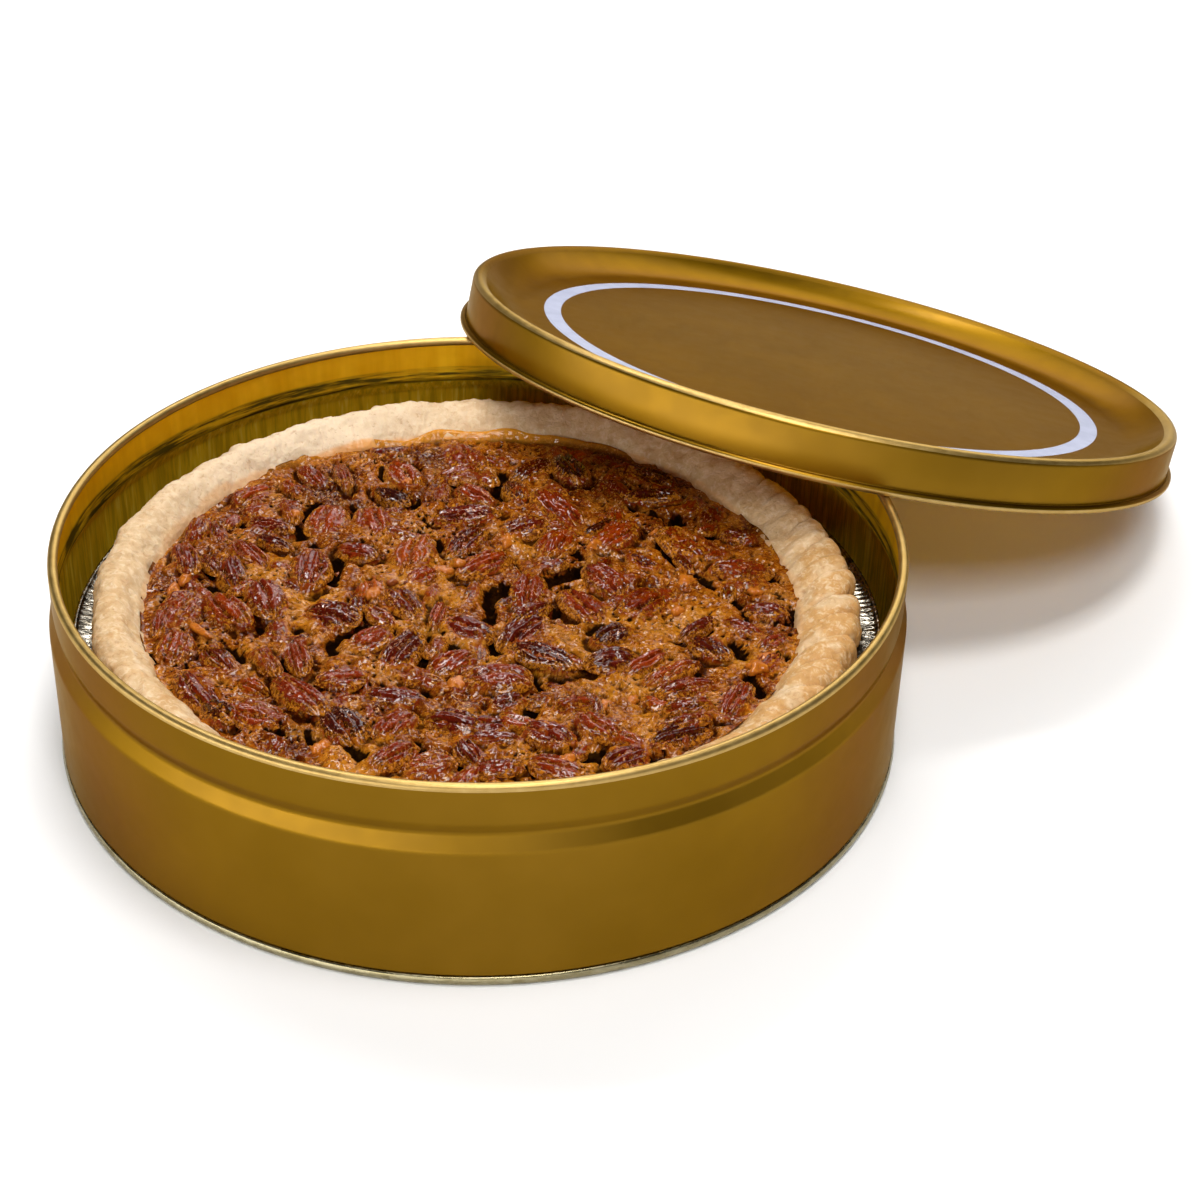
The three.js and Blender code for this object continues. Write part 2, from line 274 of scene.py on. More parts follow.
def band(lower, upper):
    """Quads between two closed loops of points, seen from outside with the lower one below."""
    return np.column_stack([lower, np.roll(lower, -1), np.roll(upper, -1), upper])


def fan(loop, foot):
    """Triangles from a closed loop down to one point below it."""
    return np.column_stack([np.roll(loop, -1), loop, np.full(len(loop), foot)])


def revolve(profile, columns, closed=False):
    """A surface of revolution about +Z: its points, each point's row, its faces and each face's row. The
    profile runs anticlockwise in the (radius, z) plane, so that faces look outwards. A row that lies on
    the axis is one point."""
    profile = np.asarray(profile, float)
    on_axis = profile[:, 0] < 1e-9
    sizes = np.where(on_axis, 1, columns)
    starts = np.cumsum(sizes) - sizes
    rows = np.repeat(np.arange(len(profile)), sizes)
    angle = (np.arange(len(rows)) - starts[rows]) / columns * TAU
    radius, z = profile[rows].T
    loops = [start + np.arange(columns) * (size > 1) for start, size in zip(starts, sizes)]
    quads, tris, quad_rows, tri_rows = [], [], [], []
    for low in range(len(profile) if closed else len(profile) - 1):
        high = (low + 1) % len(profile)
        a, b = loops[low], loops[high]
        row = np.full(columns, low)
        if on_axis[low] or on_axis[high]:
            tris.append(np.column_stack([a, np.roll(b if on_axis[low] else a, -1), b]))
            tri_rows.append(row)
        else:
            quads.append(band(a, b))
            quad_rows.append(row)
    faces = [np.concatenate(kind) for kind in (quads, tris) if kind]
    verts = stack(radius * np.cos(angle), radius * np.sin(angle), z)
    return verts, rows, faces, np.concatenate(quad_rows + tri_rows)


def disc_grid(n):
    """An even grid over the unit disc: x and y of its (n+1)^2 points, the quads facing +z, and the outline
    as indices, anticlockwise."""
    side = np.linspace(-1, 1, n + 1)
    a, b = (grid.ravel() for grid in np.meshgrid(side, side))
    wide = np.abs(a) > np.abs(b)
    safe_a, safe_b = np.where(a == 0, 1, a), np.where(b == 0, 1, b)
    radius = np.where(wide, a, b)
    angle = np.where(wide, math.pi / 4 * b / safe_a, math.pi / 2 - math.pi / 4 * a / safe_b)
    index = np.arange((n + 1) ** 2).reshape(n + 1, n + 1)
    corners = (index[:-1, :-1], index[:-1, 1:], index[1:, 1:], index[1:, :-1])
    quads = np.column_stack([corner.ravel() for corner in corners])
    border = np.concatenate([index[0, :-1], index[:-1, -1], index[-1, :0:-1], index[:0:-1, 0]])
    return radius * np.cos(angle), radius * np.sin(angle), quads, border


class Heap:
    """Many small closed lumps as one mesh: each a grid over a disc, with a fan down to a foot."""

    def __init__(self):
        self.verts, self.quads, self.fans, self.marks = [], [], [], {}
        self.count = 0

    def add(self, top, foot, quads, border, **marks):
        """A lump from its grid's points and its foot. Each mark is its value on the grid and at the foot."""
        self.verts += [top, [foot]]
        self.quads.append(quads + self.count)
        self.fans.append(fan(border + self.count, self.count + len(top)))
        for key, (over, under) in marks.items():
            self.marks.setdefault(key, []).append(np.append(np.broadcast_to(over, len(top)), under))
        self.count += len(top) + 1

    def piece(self, name, material):
        verts = np.concatenate(self.verts)
        verts[:, :2] += FILLING_CENTRE
        faces = [np.concatenate(self.quads), np.concatenate(self.fans)]
        attributes = {key: np.concatenate(parts) for key, parts in self.marks.items()}
        return make_piece(name, verts, faces, [material], attributes=attributes)


# ---- Shader helpers ----------------------------------------------------------------------------------
def srgb(*channels):
    """An 8-bit screen colour as the linear colour that a shader takes."""
    shares = (value / 255 for value in channels)
    return tuple(c / 12.92 if c <= 0.04045 else ((c + 0.055) / 1.055) ** 2.4 for c in shares)


class Nodes:
    """A node tree, and short ways to add the nodes that the finishes and the studio use."""

    def __init__(self, tree, place):
        self.tree = tree
        self.place = self.new("TexCoord").outputs[place]

    def new(self, kind, **settings):
        node = self.tree.nodes.new("ShaderNode" + kind)
        for key, value in settings.items():
            setattr(node, key, value)
        return node

    def feed(self, socket, value):
        """Link a value to a socket or set it there. A colour is its three linear channels."""
        if isinstance(value, bpy.types.NodeSocket):
            self.tree.links.new(value, socket)
        else:
            socket.default_value = (*value, 1.0) if socket.type == "RGBA" else value

    def fill(self, node, output, **values):
        """The node's output, with its inputs fed by name."""
        for key, value in values.items():
            self.feed(node.inputs[key.replace("_", " ")], value)
        return node.outputs[output]

    def height(self):
        return self.fill(self.new("SeparateXYZ"), "Z", Vector=self.place)

    def math(self, operation, *terms):
        node = self.new("Math", operation=operation)
        for socket, value in zip(node.inputs, terms):
            self.feed(socket, value)
        return node.outputs[0]

    def product(self, a, b):
        return self.math("MULTIPLY", a, b)

    def total(self, *terms):
        """The sum of values, each alone or as (value, weight)."""
        terms = [self.product(*term) if isinstance(term, tuple) else term for term in terms]
        total = terms[0]
        for term in terms[1:]:
            total = self.math("ADD", total, term)
        return total

    def span(self, value, low, high, to_low=0.0, to_high=1.0):
        """The value's smooth way from one range to another."""
        node = self.new("MapRange", interpolation_type="SMOOTHSTEP")
        ends = {"From_Min": low, "From_Max": high, "To_Min": to_low, "To_Max": to_high}
        return self.fill(node, "Result", Value=value, **ends)


class Look(Nodes):
    """A material with its Principled shader, whose sockets are set by name."""

    def __init__(self, name, **sockets):
        self.material = bpy.data.materials.new(name)
        self.material.use_nodes = True
        super().__init__(self.material.node_tree, "Object")
        self.shader = self.tree.nodes["Principled BSDF"]
        self.use(**sockets)

    def use(self, **sockets):
        self.fill(self.shader, 0, **sockets)

    def marks(self, names):
        """The piece's own attributes of these names."""
        return [self.new("Attribute", attribute_name=name).outputs["Fac"] for name in names.split()]

    def stretched(self, x, y, z):
        return self.fill(self.new("Mapping"), "Vector", Vector=self.place, Scale=(x, y, z))

    def noise(self, size_mm, detail=2, rough=0.5, where=None, distortion=0.0):
        return self.fill(
            self.new("TexNoise"), "Fac", Vector=where or self.place, Scale=1000.0 / size_mm,
            Detail=detail, Roughness=rough, Distortion=distortion,
        )

    def mix(self, share, a, b):
        node = self.new("Mix", data_type="RGBA")
        for index, value in ((0, share), (6, a), (7, b)):
            self.feed(node.inputs[index], value)
        return node.outputs[2]

    def ramp(self, value, *stops):
        """A colour from the value: each stop is its position and three linear channels."""
        node = self.new("ValToRGB")
        elements = node.color_ramp.elements
        while len(elements) < len(stops):
            elements.new(0.5)
        for element, (position, *colour) in zip(elements, stops):
            element.position = position
            element.color = (*colour, 1.0)
        return self.fill(node, "Color", Fac=value)

    def shades(self, value, *stops):
        """The same with 8-bit screen colours."""
        return self.ramp(value, *((position, *srgb(*colour)) for position, *colour in stops))

    def layered(self, colour, *layers):
        """The colour with others laid over it in turn. A layer is (value, low, high, most) or its share
        alone, and then its 8-bit screen colour or a colour socket."""
        for *share, over in layers:
            share = share[0] if len(share) == 1 else self.span(*share[:3], 0.0, share[3])
            over = srgb(*over) if isinstance(over, tuple) else over
            colour = self.mix(share, colour, over)
        return colour

    def sugar_glints(self, size_mm, patch_mm, low, high):
        """The share of whitish flecks: fine crystals of dried syrup in patches, which also serve as painted
        glints.
        """
        grains = self.span(self.noise(size_mm, 2, 0.6, distortion=0.5), 0.57, 0.66, 0.0, 0.8)
        return self.product(grains, self.span(self.noise(patch_mm, 3, 0.6), low, high))

    def rough(self, value, low, high):
        self.use(Roughness=self.span(value, 0.3, 0.7, low, high))

    def bump(self, height, distance_mm, strength=1.0, under=None):
        sockets = {} if under is None else {"Normal": under}
        return self.fill(
            self.new("Bump"), "Normal", Strength=strength, Distance=distance_mm * MM, Height=height, **sockets
        )

    def relief(self, *layers):
        """The finish's own relief, as bumps of (height, distance in mm, strength), the broadest first."""
        under = None
        for layer in layers:
            under = self.bump(*layer, under)
        self.use(Normal=under)

    def glaze(self, size_mm, distance_mm):
        """A wet glaze with smooth ripples of its own, wide enough for each to catch the light as a glint."""
        self.use(Coat_Normal=self.bump(self.noise(size_mm, 0), distance_mm))


# ---- Finishes ----------------------------------------------------------------------------------------
GOLD_EDGE = (0.54, 0.4, 0.13)  # the lacquer stays gold where light grazes it


def gold_outside():
    """Satin gold lacquer: even, with a faint orange peel and very small flakes."""
    look = Look("gold_lacquer", Metallic=1.0, Coat_Weight=0.09, Coat_Roughness=0.2, Coat_IOR=1.45,
                Specular_Tint=GOLD_EDGE)
    cloud = look.noise(38, 3, 0.55)
    look.use(Base_Color=look.ramp(cloud, (0.3, 0.182, 0.092, 0.003), (0.7, 0.214, 0.110, 0.006)))
    look.rough(look.noise(9), 0.33, 0.38)
    look.relief((look.noise(1.6, 1), 0.012, 0.4), (look.noise(0.35, 1), 0.008, 0.5))
    return look.material


def gold_rim():
    """Rolled rims: a paler, shinier gold laid on as a painted highlight where the mark is set, and the plain
    gold elsewhere.
    """
    look = Look("gold_rim", Metallic=1.0, Coat_Roughness=0.36, Coat_IOR=1.45, Specular_Tint=GOLD_EDGE)
    rub = look.noise(4, 4, 0.6)
    worn, = look.marks("worn")
    bright = look.ramp(rub, (0.3, 0.40, 0.25, 0.065), (0.7, 0.49, 0.33, 0.11))
    # Painted highlight: where the mark is 1 the rim takes the bright, whitish gold.
    look.use(Base_Color=look.mix(worn, (0.198, 0.10, 0.0045), bright))
    look.use(Coat_Weight=look.span(worn, 0.0, 1.0, 0.12, 0.4))
    look.rough(rub, 0.4, 0.46)
    look.relief((look.noise(2.2, 1), 0.01, 0.3))
    return look.material


def gold_inside(name, grooved):
    """Bright gold lacquer over rolled tinplate, with the fine upright streaks of its drawing."""
    metallic = 0.84
    look = Look(name, Metallic=metallic, Specular_IOR_Level=0.0, Specular_Tint=(1.0, 0.72, 0.12))
    streak = look.noise(3.0, 3, 0.5, look.stretched(1.0, 1.0, 0.04))
    fine = look.noise(0.8, 2, 0.5, look.stretched(1.0, 1.0, 0.02))
    shade = look.total((streak, 0.4), (look.noise(16, 3, 0.6), 0.6))
    colour = look.ramp(shade, (0.34, 0.78, 0.43, 0.008), (0.62, 0.95, 0.59, 0.018))
    if grooved:
        # A dark, finely lined band along the stop groove is a painted reflection. Below it the lacquer is
        # duller, with dark and bright upright streaks that are painted reflections.
        height = look.height()
        lines = look.noise(1.4, 3, 0.6, look.stretched(0.07, 0.07, 1.0))
        painted_streaks = look.noise(1.9, 3, 0.6, look.stretched(1.0, 1.0, 0.08))
        foot, full = (z * MM for z in GROOVE_FOOT_FADE)
        top, top_full = (z * MM for z in GROOVE_TOP_FADE)
        below = look.span(height, full, foot)
        dark, bright = look.span(painted_streaks, 0.46, 0.62, 0.0, 0.6), look.span(painted_streaks, 0.46, 0.34, 0.0, 0.7)
        colour = look.mix(look.product(below, dark), colour, (0.5, 0.3, 0.006))
        colour = look.mix(look.product(below, bright), colour, (1.0, 0.72, 0.09))
        painted_groove_band = look.product(look.span(height, top, top_full), look.span(height, foot, full))
        painted_groove_band = look.product(painted_groove_band, look.span(lines, 0.4, 0.62, 0.98, 0.3))
        colour = look.mix(painted_groove_band, colour, (0.07, 0.055, 0.008))
        look.use(Metallic=look.math("SUBTRACT", metallic, look.product(below, 0.3)))
    look.use(Base_Color=colour)
    look.rough(streak, 0.40, 0.48)
    look.relief((streak, 0.02, 0.4), (fine, 0.008, 0.4))
    return look.material


def seam_metal():
    """The bare edge of the folded tinplate, scuffed bright where the fold turns."""
    look = Look("seam_metal", Metallic=1.0)
    rub = look.noise(5, 4, 0.6, look.stretched(1.0, 1.0, 3.0))
    look.use(Base_Color=look.ramp(rub, (0.3, 0.20, 0.165, 0.08), (0.7, 0.36, 0.32, 0.2)))
    look.rough(rub, 0.2, 0.36)
    look.relief((look.noise(0.8, 3, 0.6), 0.02, 0.5))
    return look.material


def white_ink():
    """The printed ring, under the same lacquer as the gold."""
    look = Look("white_ink", Roughness=0.45, Coat_Weight=0.1, Coat_Roughness=0.16, Coat_IOR=1.45)
    look.use(Base_Color=look.shades(look.noise(9, 4, 0.6), (0.3, 152, 157, 182), (0.7, 170, 175, 199)))
    look.relief((look.noise(0.5, 1), 0.01, 0.5))
    return look.material


def foil_metal():
    """Household foil: painted dark as a dim room's reflection, with painted shade in dents and painted glints
    on bumps.
    """
    look = Look("foil", Metallic=1.0)
    dents_and_glints = look.noise(3.4, 4, 0.6)
    # Painted shade in the dents and painted glints on the raised parts.
    look.use(Base_Color=look.ramp(dents_and_glints, (0.35, 0.02, 0.016, 0.01), (0.65, 0.3, 0.27, 0.22)))
    look.rough(look.noise(7, 3, 0.6), 0.14, 0.3)
    look.relief((dents_and_glints, 0.25, 0.7))
    return look.material


def pastry():
    """Pale baked pastry: cream on the flat, golden along the crimps, with fine flakes and pores."""
    look = Look("pastry", Roughness=0.66, Subsurface_Weight=0.1, Subsurface_Scale=0.003,
                Subsurface_Radius=(1.0, 0.55, 0.25), Specular_IOR_Level=0.3, Coat_Roughness=0.25)
    bake, crease, stain, pale = look.marks("bake crease stain pale")
    mottle = look.noise(9, 5, 0.6, distortion=0.8)
    flake = look.noise(2.4, 5, 0.66, distortion=0.6)
    golden = look.mix(look.noise(3.5, 3, 0.6), srgb(206, 160, 94), srgb(178, 124, 60))
    look.use(Base_Color=look.layered(
        look.shades(mottle, (0.3, 221, 191, 151), (0.5, 209, 176, 132), (0.7, 192, 154, 107)),
        # Painted light: the back left of the rim is made paler.
        (look.product(pale, 0.6), (236, 216, 190)),
        # Golden baking, and also painted shade toward the front right and the front left.
        (look.total(bake, (mottle, 0.3)), 0.35, 0.95, 0.85, golden),
        (flake, 0.48, 0.66, 0.6, (230, 207, 172)),
        (flake, 0.45, 0.3, 0.5, (170, 122, 74)),
        # Painted shade along the creases and the back's nicks.
        (crease, 0.25, 1.0, 0.55, (160, 112, 62)),
        (look.noise(2.2), 0.67, 0.74, 0.35, (160, 112, 66)),
        (stain, (222, 146, 50)),
    ))
    look.use(Coat_Weight=look.span(stain, 0.2, 0.9, 0.0, 0.35))
    grain = look.noise(5.0, 4, 0.6, distortion=0.5)
    look.relief((grain, 0.8, 0.8), (flake, 0.5, 0.7), (look.noise(0.8, 3, 0.6), 0.18, 0.7))
    return look.material


def custard():
    """The filling's baked skin: caramel, darker where it runs thin over a nut, painted nearly black as shade
    in cracks.
    """
    look = Look("custard", Subsurface_Weight=0.04, Subsurface_Scale=0.0015, Specular_IOR_Level=0.0,
                Coat_Roughness=0.08, Coat_IOR=1.45)
    film, crack, tone, edge, hollow = look.marks("film crack tone edge hollow")
    swirl = look.noise(3.6, 6, 0.68, distortion=1.5)
    grain = look.noise(1.15, 5, 0.72, distortion=0.7)
    dry = look.noise(11, 4, 0.6, distortion=0.6)
    # The tone mark also holds painted shadow, falling toward the back under the lid.
    shade = look.total((swirl, 0.8), (tone, 0.25))
    look.use(Base_Color=look.layered(
        look.shades(shade, (0.32, 78, 24, 1), (0.44, 122, 50, 3), (0.55, 162, 84, 8), (0.68, 194, 120, 24)),
        (dry, 0.5, 0.64, 0.6, (186, 118, 40)),
        (dry, 0.48, 0.36, 0.6, (104, 38, 2)),
        # Painted light on the high parts of the fine grain and painted shade in its low parts, following the
        # same relief.
        (grain, 0.52, 0.68, 0.75, (224, 152, 48)),
        (grain, 0.48, 0.35, 0.85, (52, 10, 0)),
        # Whitish flecks: crystals of dried syrup, and painted glints as well.
        (look.sugar_glints(0.9, 5.5, 0.46, 0.62), (226, 168, 112)),
        (look.span(film, 0.0, 1.0, 0.85, 0.0), (122, 34, 4)),
        # Painted shade, darker where the skin lies lower than its surroundings.
        (hollow, 0.08, 0.6, 0.9, (46, 10, 0)),
        (edge, (238, 160, 46)),
        # Painted shade: nearly black in cracks, pits, honeycombs and gashes.
        (crack, 0.1, 0.7, 0.96, (14, 5, 2)),
    ))
    look.rough(look.noise(2.0, 4, 0.65), 0.3, 0.6)
    look.relief((swirl, 1.0, 0.8), (grain, 0.6, 1.0), (look.noise(0.5, 3, 0.65), 0.15, 0.9))
    look.glaze(2.4, 0.5)
    wet = look.product(look.span(crack, 0.1, 0.6, 0.55, 0.0), look.span(grain, 0.36, 0.46))
    look.use(Coat_Weight=look.product(wet, look.span(hollow, 0.1, 0.5, 1.0, 0.1)))
    return look.material


def nut_skin():
    """Glazed pecan skin: from red-brown to maroon, each half in its own tone, with custard on it."""
    look = Look("pecan_skin", Subsurface_Weight=0.03, Subsurface_Scale=0.001, Specular_IOR_Level=0.0,
                Coat_Roughness=0.08, Coat_IOR=1.45)
    tone, groove, rim, along, across = look.marks("tone groove rim along across")
    # The ribs run along each half, in its own millimetres, and differ from half to half by its tone.
    stretch, layer = look.product(along, 0.22), look.product(tone, 31.0)
    own_place = look.fill(look.new("CombineXYZ"), 0, X=stretch, Y=across, Z=layer)
    ribs = look.noise(1000.0 / 0.85, 4, 0.62, own_place, 0.6)
    blotch = look.noise(2.6, 5, 0.65, distortion=0.8)
    grain = look.noise(1.0, 4, 0.7, distortion=0.5)
    shade = look.total((tone, 0.55), (blotch, 0.3), (ribs, 0.3))
    # Custard lies in the grooves, along the outline and in patches.
    patches = look.noise(2.1, 5, 0.72, distortion=1.2)
    cling = look.total((groove, 0.16), (rim, 0.3), (ribs, -0.25), patches)
    # The custard on a nut is painted lighter on the high parts of the grain and darker in its low parts.
    caramel = look.mix(look.span(grain, 0.4, 0.62), srgb(92, 40, 2), srgb(196, 122, 28))
    look.use(Base_Color=look.layered(
        look.shades(shade, (0.32, 178, 80, 5), (0.46, 142, 46, 1), (0.62, 96, 18, 0), (0.82, 50, 7, 0)),
        # Painted shade in the low parts of the fine grain and painted light on its high parts, following the
        # relief.
        (grain, 0.46, 0.34, 0.7, (42, 4, 0)),
        (grain, 0.56, 0.74, 0.4, (200, 100, 20)),
        # Painted shade in the grooves.
        (groove, 0.2, 0.7, 0.85, (44, 8, 0)),
        (cling, 0.49, 0.62, 0.9, caramel),
        # Whitish flecks: crystals of dried syrup, and painted glints as well.
        (look.sugar_glints(0.85, 4.5, 0.45, 0.6), (214, 150, 108)),
    ))
    look.rough(look.noise(1.4, 4, 0.65), 0.25, 0.5)
    look.relief(
        (look.span(cling, 0.47, 0.64), 0.35, 0.8), (ribs, 0.6, 0.9), (blotch, 0.4, 0.6), (grain, 0.4, 0.9),
        (look.noise(0.45, 3, 0.65), 0.12, 0.8),
    )
    look.glaze(2.6, 0.45)
    look.use(Coat_Weight=look.product(look.span(groove, 0.2, 0.7, 0.85, 0.15), look.span(grain, 0.36, 0.44)))
    return look.material


def nut_meat():
    """Broken nut: the orange-tan inside of a chip."""
    look = Look("pecan_chip", Roughness=0.45, Subsurface_Weight=0.05, Subsurface_Scale=0.001,
                Specular_IOR_Level=0.1, Coat_Weight=0.8, Coat_Roughness=0.12, Coat_IOR=1.42)
    tone, = look.marks("tone")
    blotch = look.noise(1.2, 5, 0.68)
    shade = look.total((tone, 0.55), (blotch, 0.5))
    look.use(Base_Color=look.shades(shade, (0.25, 206, 120, 22), (0.42, 168, 84, 12), (0.8, 96, 32, 4)))
    look.relief((blotch, 0.7, 1.0), (look.noise(0.5, 3, 0.6), 0.15, 0.8))
    return look.material


# ---- Tin ---------------------------------------------------------------------------------------------
def build_tin_wall():
    groove = COLLAR_RADIUS - GROOVE_DEPTH
    collar_inner, wall_inner = COLLAR_RADIUS - SHEET, WALL_RADIUS - SHEET
    outside = fillet(
        [
            (WALL_RADIUS - 0.25, WALL_FOOT), (WALL_RADIUS, WALL_FOOT + 0.5), (WALL_RADIUS, FLARE_BOTTOM),
            (groove, GROOVE_Z), (COLLAR_RADIUS, COLLAR_BOTTOM),
            (COLLAR_RADIUS, TIN_HEIGHT - CURL_RADIUS - 0.4),
        ],
        0.9,
    )
    curl = arc(COLLAR_RADIUS - CURL_RADIUS, TIN_HEIGHT - CURL_RADIUS, CURL_RADIUS, 0, 300, 20)
    inside = fillet(
        [
            (collar_inner, TIN_HEIGHT - 2 * CURL_RADIUS - 0.5), (collar_inner - COLLAR_LEAN, COLLAR_BOTTOM),
            (groove - SHEET, GROOVE_Z), (wall_inner, FLARE_BOTTOM), (wall_inner, WALL_FOOT + 0.5),
            (wall_inner + 0.25, WALL_FOOT),
        ],
        0.9,
    )
    curl_end = len(outside) + len(curl)
    verts, rows, faces, face_row = revolve(outside + curl + inside, TIN_COLUMNS, closed=True)
    angle = np.arctan2(verts[:, 1], verts[:, 0])
    # The side weld stands proud as a narrow line inside, and the sheet waves very slightly.
    weld = np.where(rows >= curl_end, WELD_HEIGHT * lobe(angle, WELD_AZIMUTH, WELD_SPREAD), 0.0)
    wave = WALL_WAVE * fbm(around(angle, verts[:, 2] / 80), 0.22, 2, 31)
    body = smoothstep(TIN_HEIGHT - 6, TIN_HEIGHT - 12, verts[:, 2])
    radius = np.hypot(verts[:, 0], verts[:, 1])
    verts[:, :2] *= ((radius + (wave - weld) * body) / radius)[:, None]
    slots = np.where(face_row >= curl_end, 1, np.where(face_row >= len(outside) - 1, 2, 0))
    # The curl takes the paler rim gold all round, a painted highlight line.
    piece = make_piece(
        "tin_body", verts, faces, [GOLD_OUTSIDE, GOLD_INSIDE, GOLD_RIM], slots, {"worn": np.ones(len(verts))}
    )
    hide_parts("tin_wall")
    return piece


def build_tin_base():
    floor_z = BASE_THICKNESS + 0.2
    profile = fillet(
        [
            (0.0, 0.75), (124.0, 0.75), (128.4, 0.75), (129.2, 0.0), (SEAM_RADIUS - 1.1, 0.0),
            (SEAM_RADIUS - 0.35, 0.5), (SEAM_RADIUS, 1.3), (SEAM_RADIUS, SEAM_HEIGHT - 1.25),
            (SEAM_RADIUS - 0.35, SEAM_HEIGHT - 0.3), (WALL_RADIUS - 0.1, SEAM_HEIGHT),
            (SEAM_INNER + 0.8, SEAM_HEIGHT), (SEAM_INNER, SEAM_HEIGHT - 1.0),
            (SEAM_INNER - 0.3, BASE_THICKNESS + 0.25), (128.0, floor_z), (0.0, floor_z),
        ],
        0.45,
        3,
    )
    verts, _, faces, _ = revolve(profile, TIN_COLUMNS)
    piece = make_piece("tin_end", verts, faces, [SEAM_METAL])
    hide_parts("tin_base")
    return piece


def lid_matrix():
    """From the lid's own frame, with its bead standing on z = 0, to where it leans."""
    tilt, heading = math.radians(LID_TILT), math.radians(LID_HEADING)
    normal = Vector((math.sin(tilt) * math.cos(heading), math.sin(tilt) * math.sin(heading), math.cos(tilt)))
    height = LID_BEAD_CENTRE * math.sin(tilt) + LID_BEAD
    centre = Vector((LID_REACH * math.cos(heading), LID_REACH * math.sin(heading), height))
    turn = Vector((0, 0, 1)).rotation_difference(normal).to_matrix().to_4x4()
    return np.array(Matrix.Translation(centre - normal * LID_BEAD) @ turn)


def build_lid():
    panel_z = LID_HEIGHT - LID_PANEL_DROP
    ridge_r = LID_RADIUS - LID_RIDGE
    skirt_inner = LID_RADIUS - SHEET
    cove_end = ridge_r - 1.2

    def cove(share, drop):
        """A point of the curve from the panel up to the ridge."""
        radius = LID_PANEL_RADIUS + (cove_end - LID_PANEL_RADIUS) * share
        return (radius, panel_z + (LID_PANEL_DROP - 0.4) * share * share - drop)

    under = [(0.0, panel_z - SHEET), (60.0, panel_z - SHEET)]
    under += [cove(s, SHEET) for s in np.linspace(0, 0.9, 8)]
    under += fillet(
        [
            cove(0.95, SHEET), (ridge_r, LID_HEIGHT - SHEET), (skirt_inner, LID_HEIGHT - LID_RIDGE - 0.3),
            (skirt_inner, LID_BEAD + 0.6),
        ],
        0.8,
    )
    bead = arc(LID_BEAD_CENTRE, LID_BEAD, LID_BEAD, -160, 130, 18)
    skirt = [(LID_RADIUS, LID_BEAD * 2 + 0.2), (LID_RADIUS, 9.0)]
    ridge = arc(ridge_r, LID_HEIGHT - LID_RIDGE, LID_RIDGE, 0, 100, 12)
    over = [cove(s, 0.0) for s in np.linspace(1, 0, 14)]
    flat = [(radius, panel_z) for radius in (111.0, 109.2, *RING_RADII[::-1], 80.0, 40.0, 0.0)]
    profile = under + bead + skirt + ridge + over + flat
    verts, rows, faces, face_row = revolve(profile, TIN_COLUMNS)
    bead_row, ring_row = len(under) - 1, len(profile) - len(flat) + 2
    ridge_row = len(under) + len(bead) + len(skirt)
    on_bead = (face_row >= bead_row) & (face_row < bead_row + 12)
    on_ridge = (face_row >= ridge_row + 3) & (face_row < ridge_row + len(ridge) + 1)
    slots = np.where(face_row == ring_row, 1, np.where(on_bead | on_ridge, 2, 0))
    slots = np.where(face_row < bead_row, 3, slots)
    matrix = lid_matrix()
    verts = verts @ matrix[:3, :3].T + matrix[:3, 3]
    # Painted highlight: the ridge takes the paler rim gold only along its near, front side, and the bead all
    # round.
    beside = (verts[:, 1] - verts[:, 1].mean()) / LID_RADIUS
    worn = np.where(rows < ridge_row, 1.0, smoothstep(0.25, -0.15, beside))
    materials = [GOLD_OUTSIDE, WHITE_INK, GOLD_RIM, LID_INSIDE]
    piece = make_piece("tin_lid", verts, faces, materials, slots, {"worn": worn})
    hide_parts("lid")
    return piece


# ---- Foil pan ----------------------------------------------------------------------------------------
def build_foil_pan():
    mouth, foot, rim_z, foot_z = PAN_MOUTH_RADIUS, PAN_FOOT_RADIUS, PAN_RIM_Z, PAN_FOOT_Z
    roll_r = PAN_RADIUS - PAN_ROLL
    # The underside, with how far the crimps move each point; then the rolled edge; then the top.
    under = [
        (0.0, foot_z, 0), (60.0, foot_z, 0), (foot - 2, foot_z, 0), (foot + 0.5, foot_z + 1.2, 0.1),
        (103.0, 12.0, 0.3), (109.0, 25.0, 0.4), (113.6, 35.0, 0.5), (mouth + 0.2, rim_z - 2.6, 0.55),
        (118.5, rim_z - 1.7, 0.5), (122.0, rim_z - 1.2, 0.3), (roll_r - 0.8, rim_z - 0.9, 0.12),
    ]
    rolled = [(r, z, 0.08) for r, z in arc(roll_r, rim_z - 0.25, PAN_ROLL, -140, 150, 9)]
    top = [
        (roll_r - 1.2, rim_z - 0.35, 0.14), (122.4, rim_z - 0.5, 0.3), (120.6, rim_z - 0.75, 0.5),
        (118.8, rim_z - 1.1, 0.62), (117.0, rim_z - 1.5, 0.62), (mouth - 0.2, rim_z - 2.2, 0.5),
        (113.0, 35.0, 0.4), (102.4, 12.0, 0.3), (foot - 0.4, foot_z + 1.4, 0.1), (foot - 3, foot_z + 0.3, 0),
        (0.0, foot_z + 0.3, 0),
    ]
    profile = np.array(under + rolled + top)
    verts, rows, faces, _ = revolve(profile[:, :2], PAN_COLUMNS)
    column = np.round(np.arctan2(verts[:, 1], verts[:, 0]) / TAU * PAN_COLUMNS).astype(int) % PAN_COLUMNS
    crimp, step = np.divmod(column, len(PAN_ZIGZAG))
    strength = 0.55 + 0.8 * lattice(crimp, 0, 0, 41)
    verts[:, 2] += profile[rows, 2] * np.array(PAN_ZIGZAG)[step] * strength * PAN_CRIMP_HEIGHT
    flange = smoothstep(110.0, 118.0, np.hypot(verts[:, 0], verts[:, 1]))
    verts[:, 2] += PAN_WAVE * fbm(around(column / PAN_COLUMNS * TAU), 0.3, 3, 43) * flange
    verts[:, :2] += PAN_CENTRE
    piece = make_piece("foil_dish", verts, faces, [FOIL_METAL])
    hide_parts("foil_pan")
    return piece


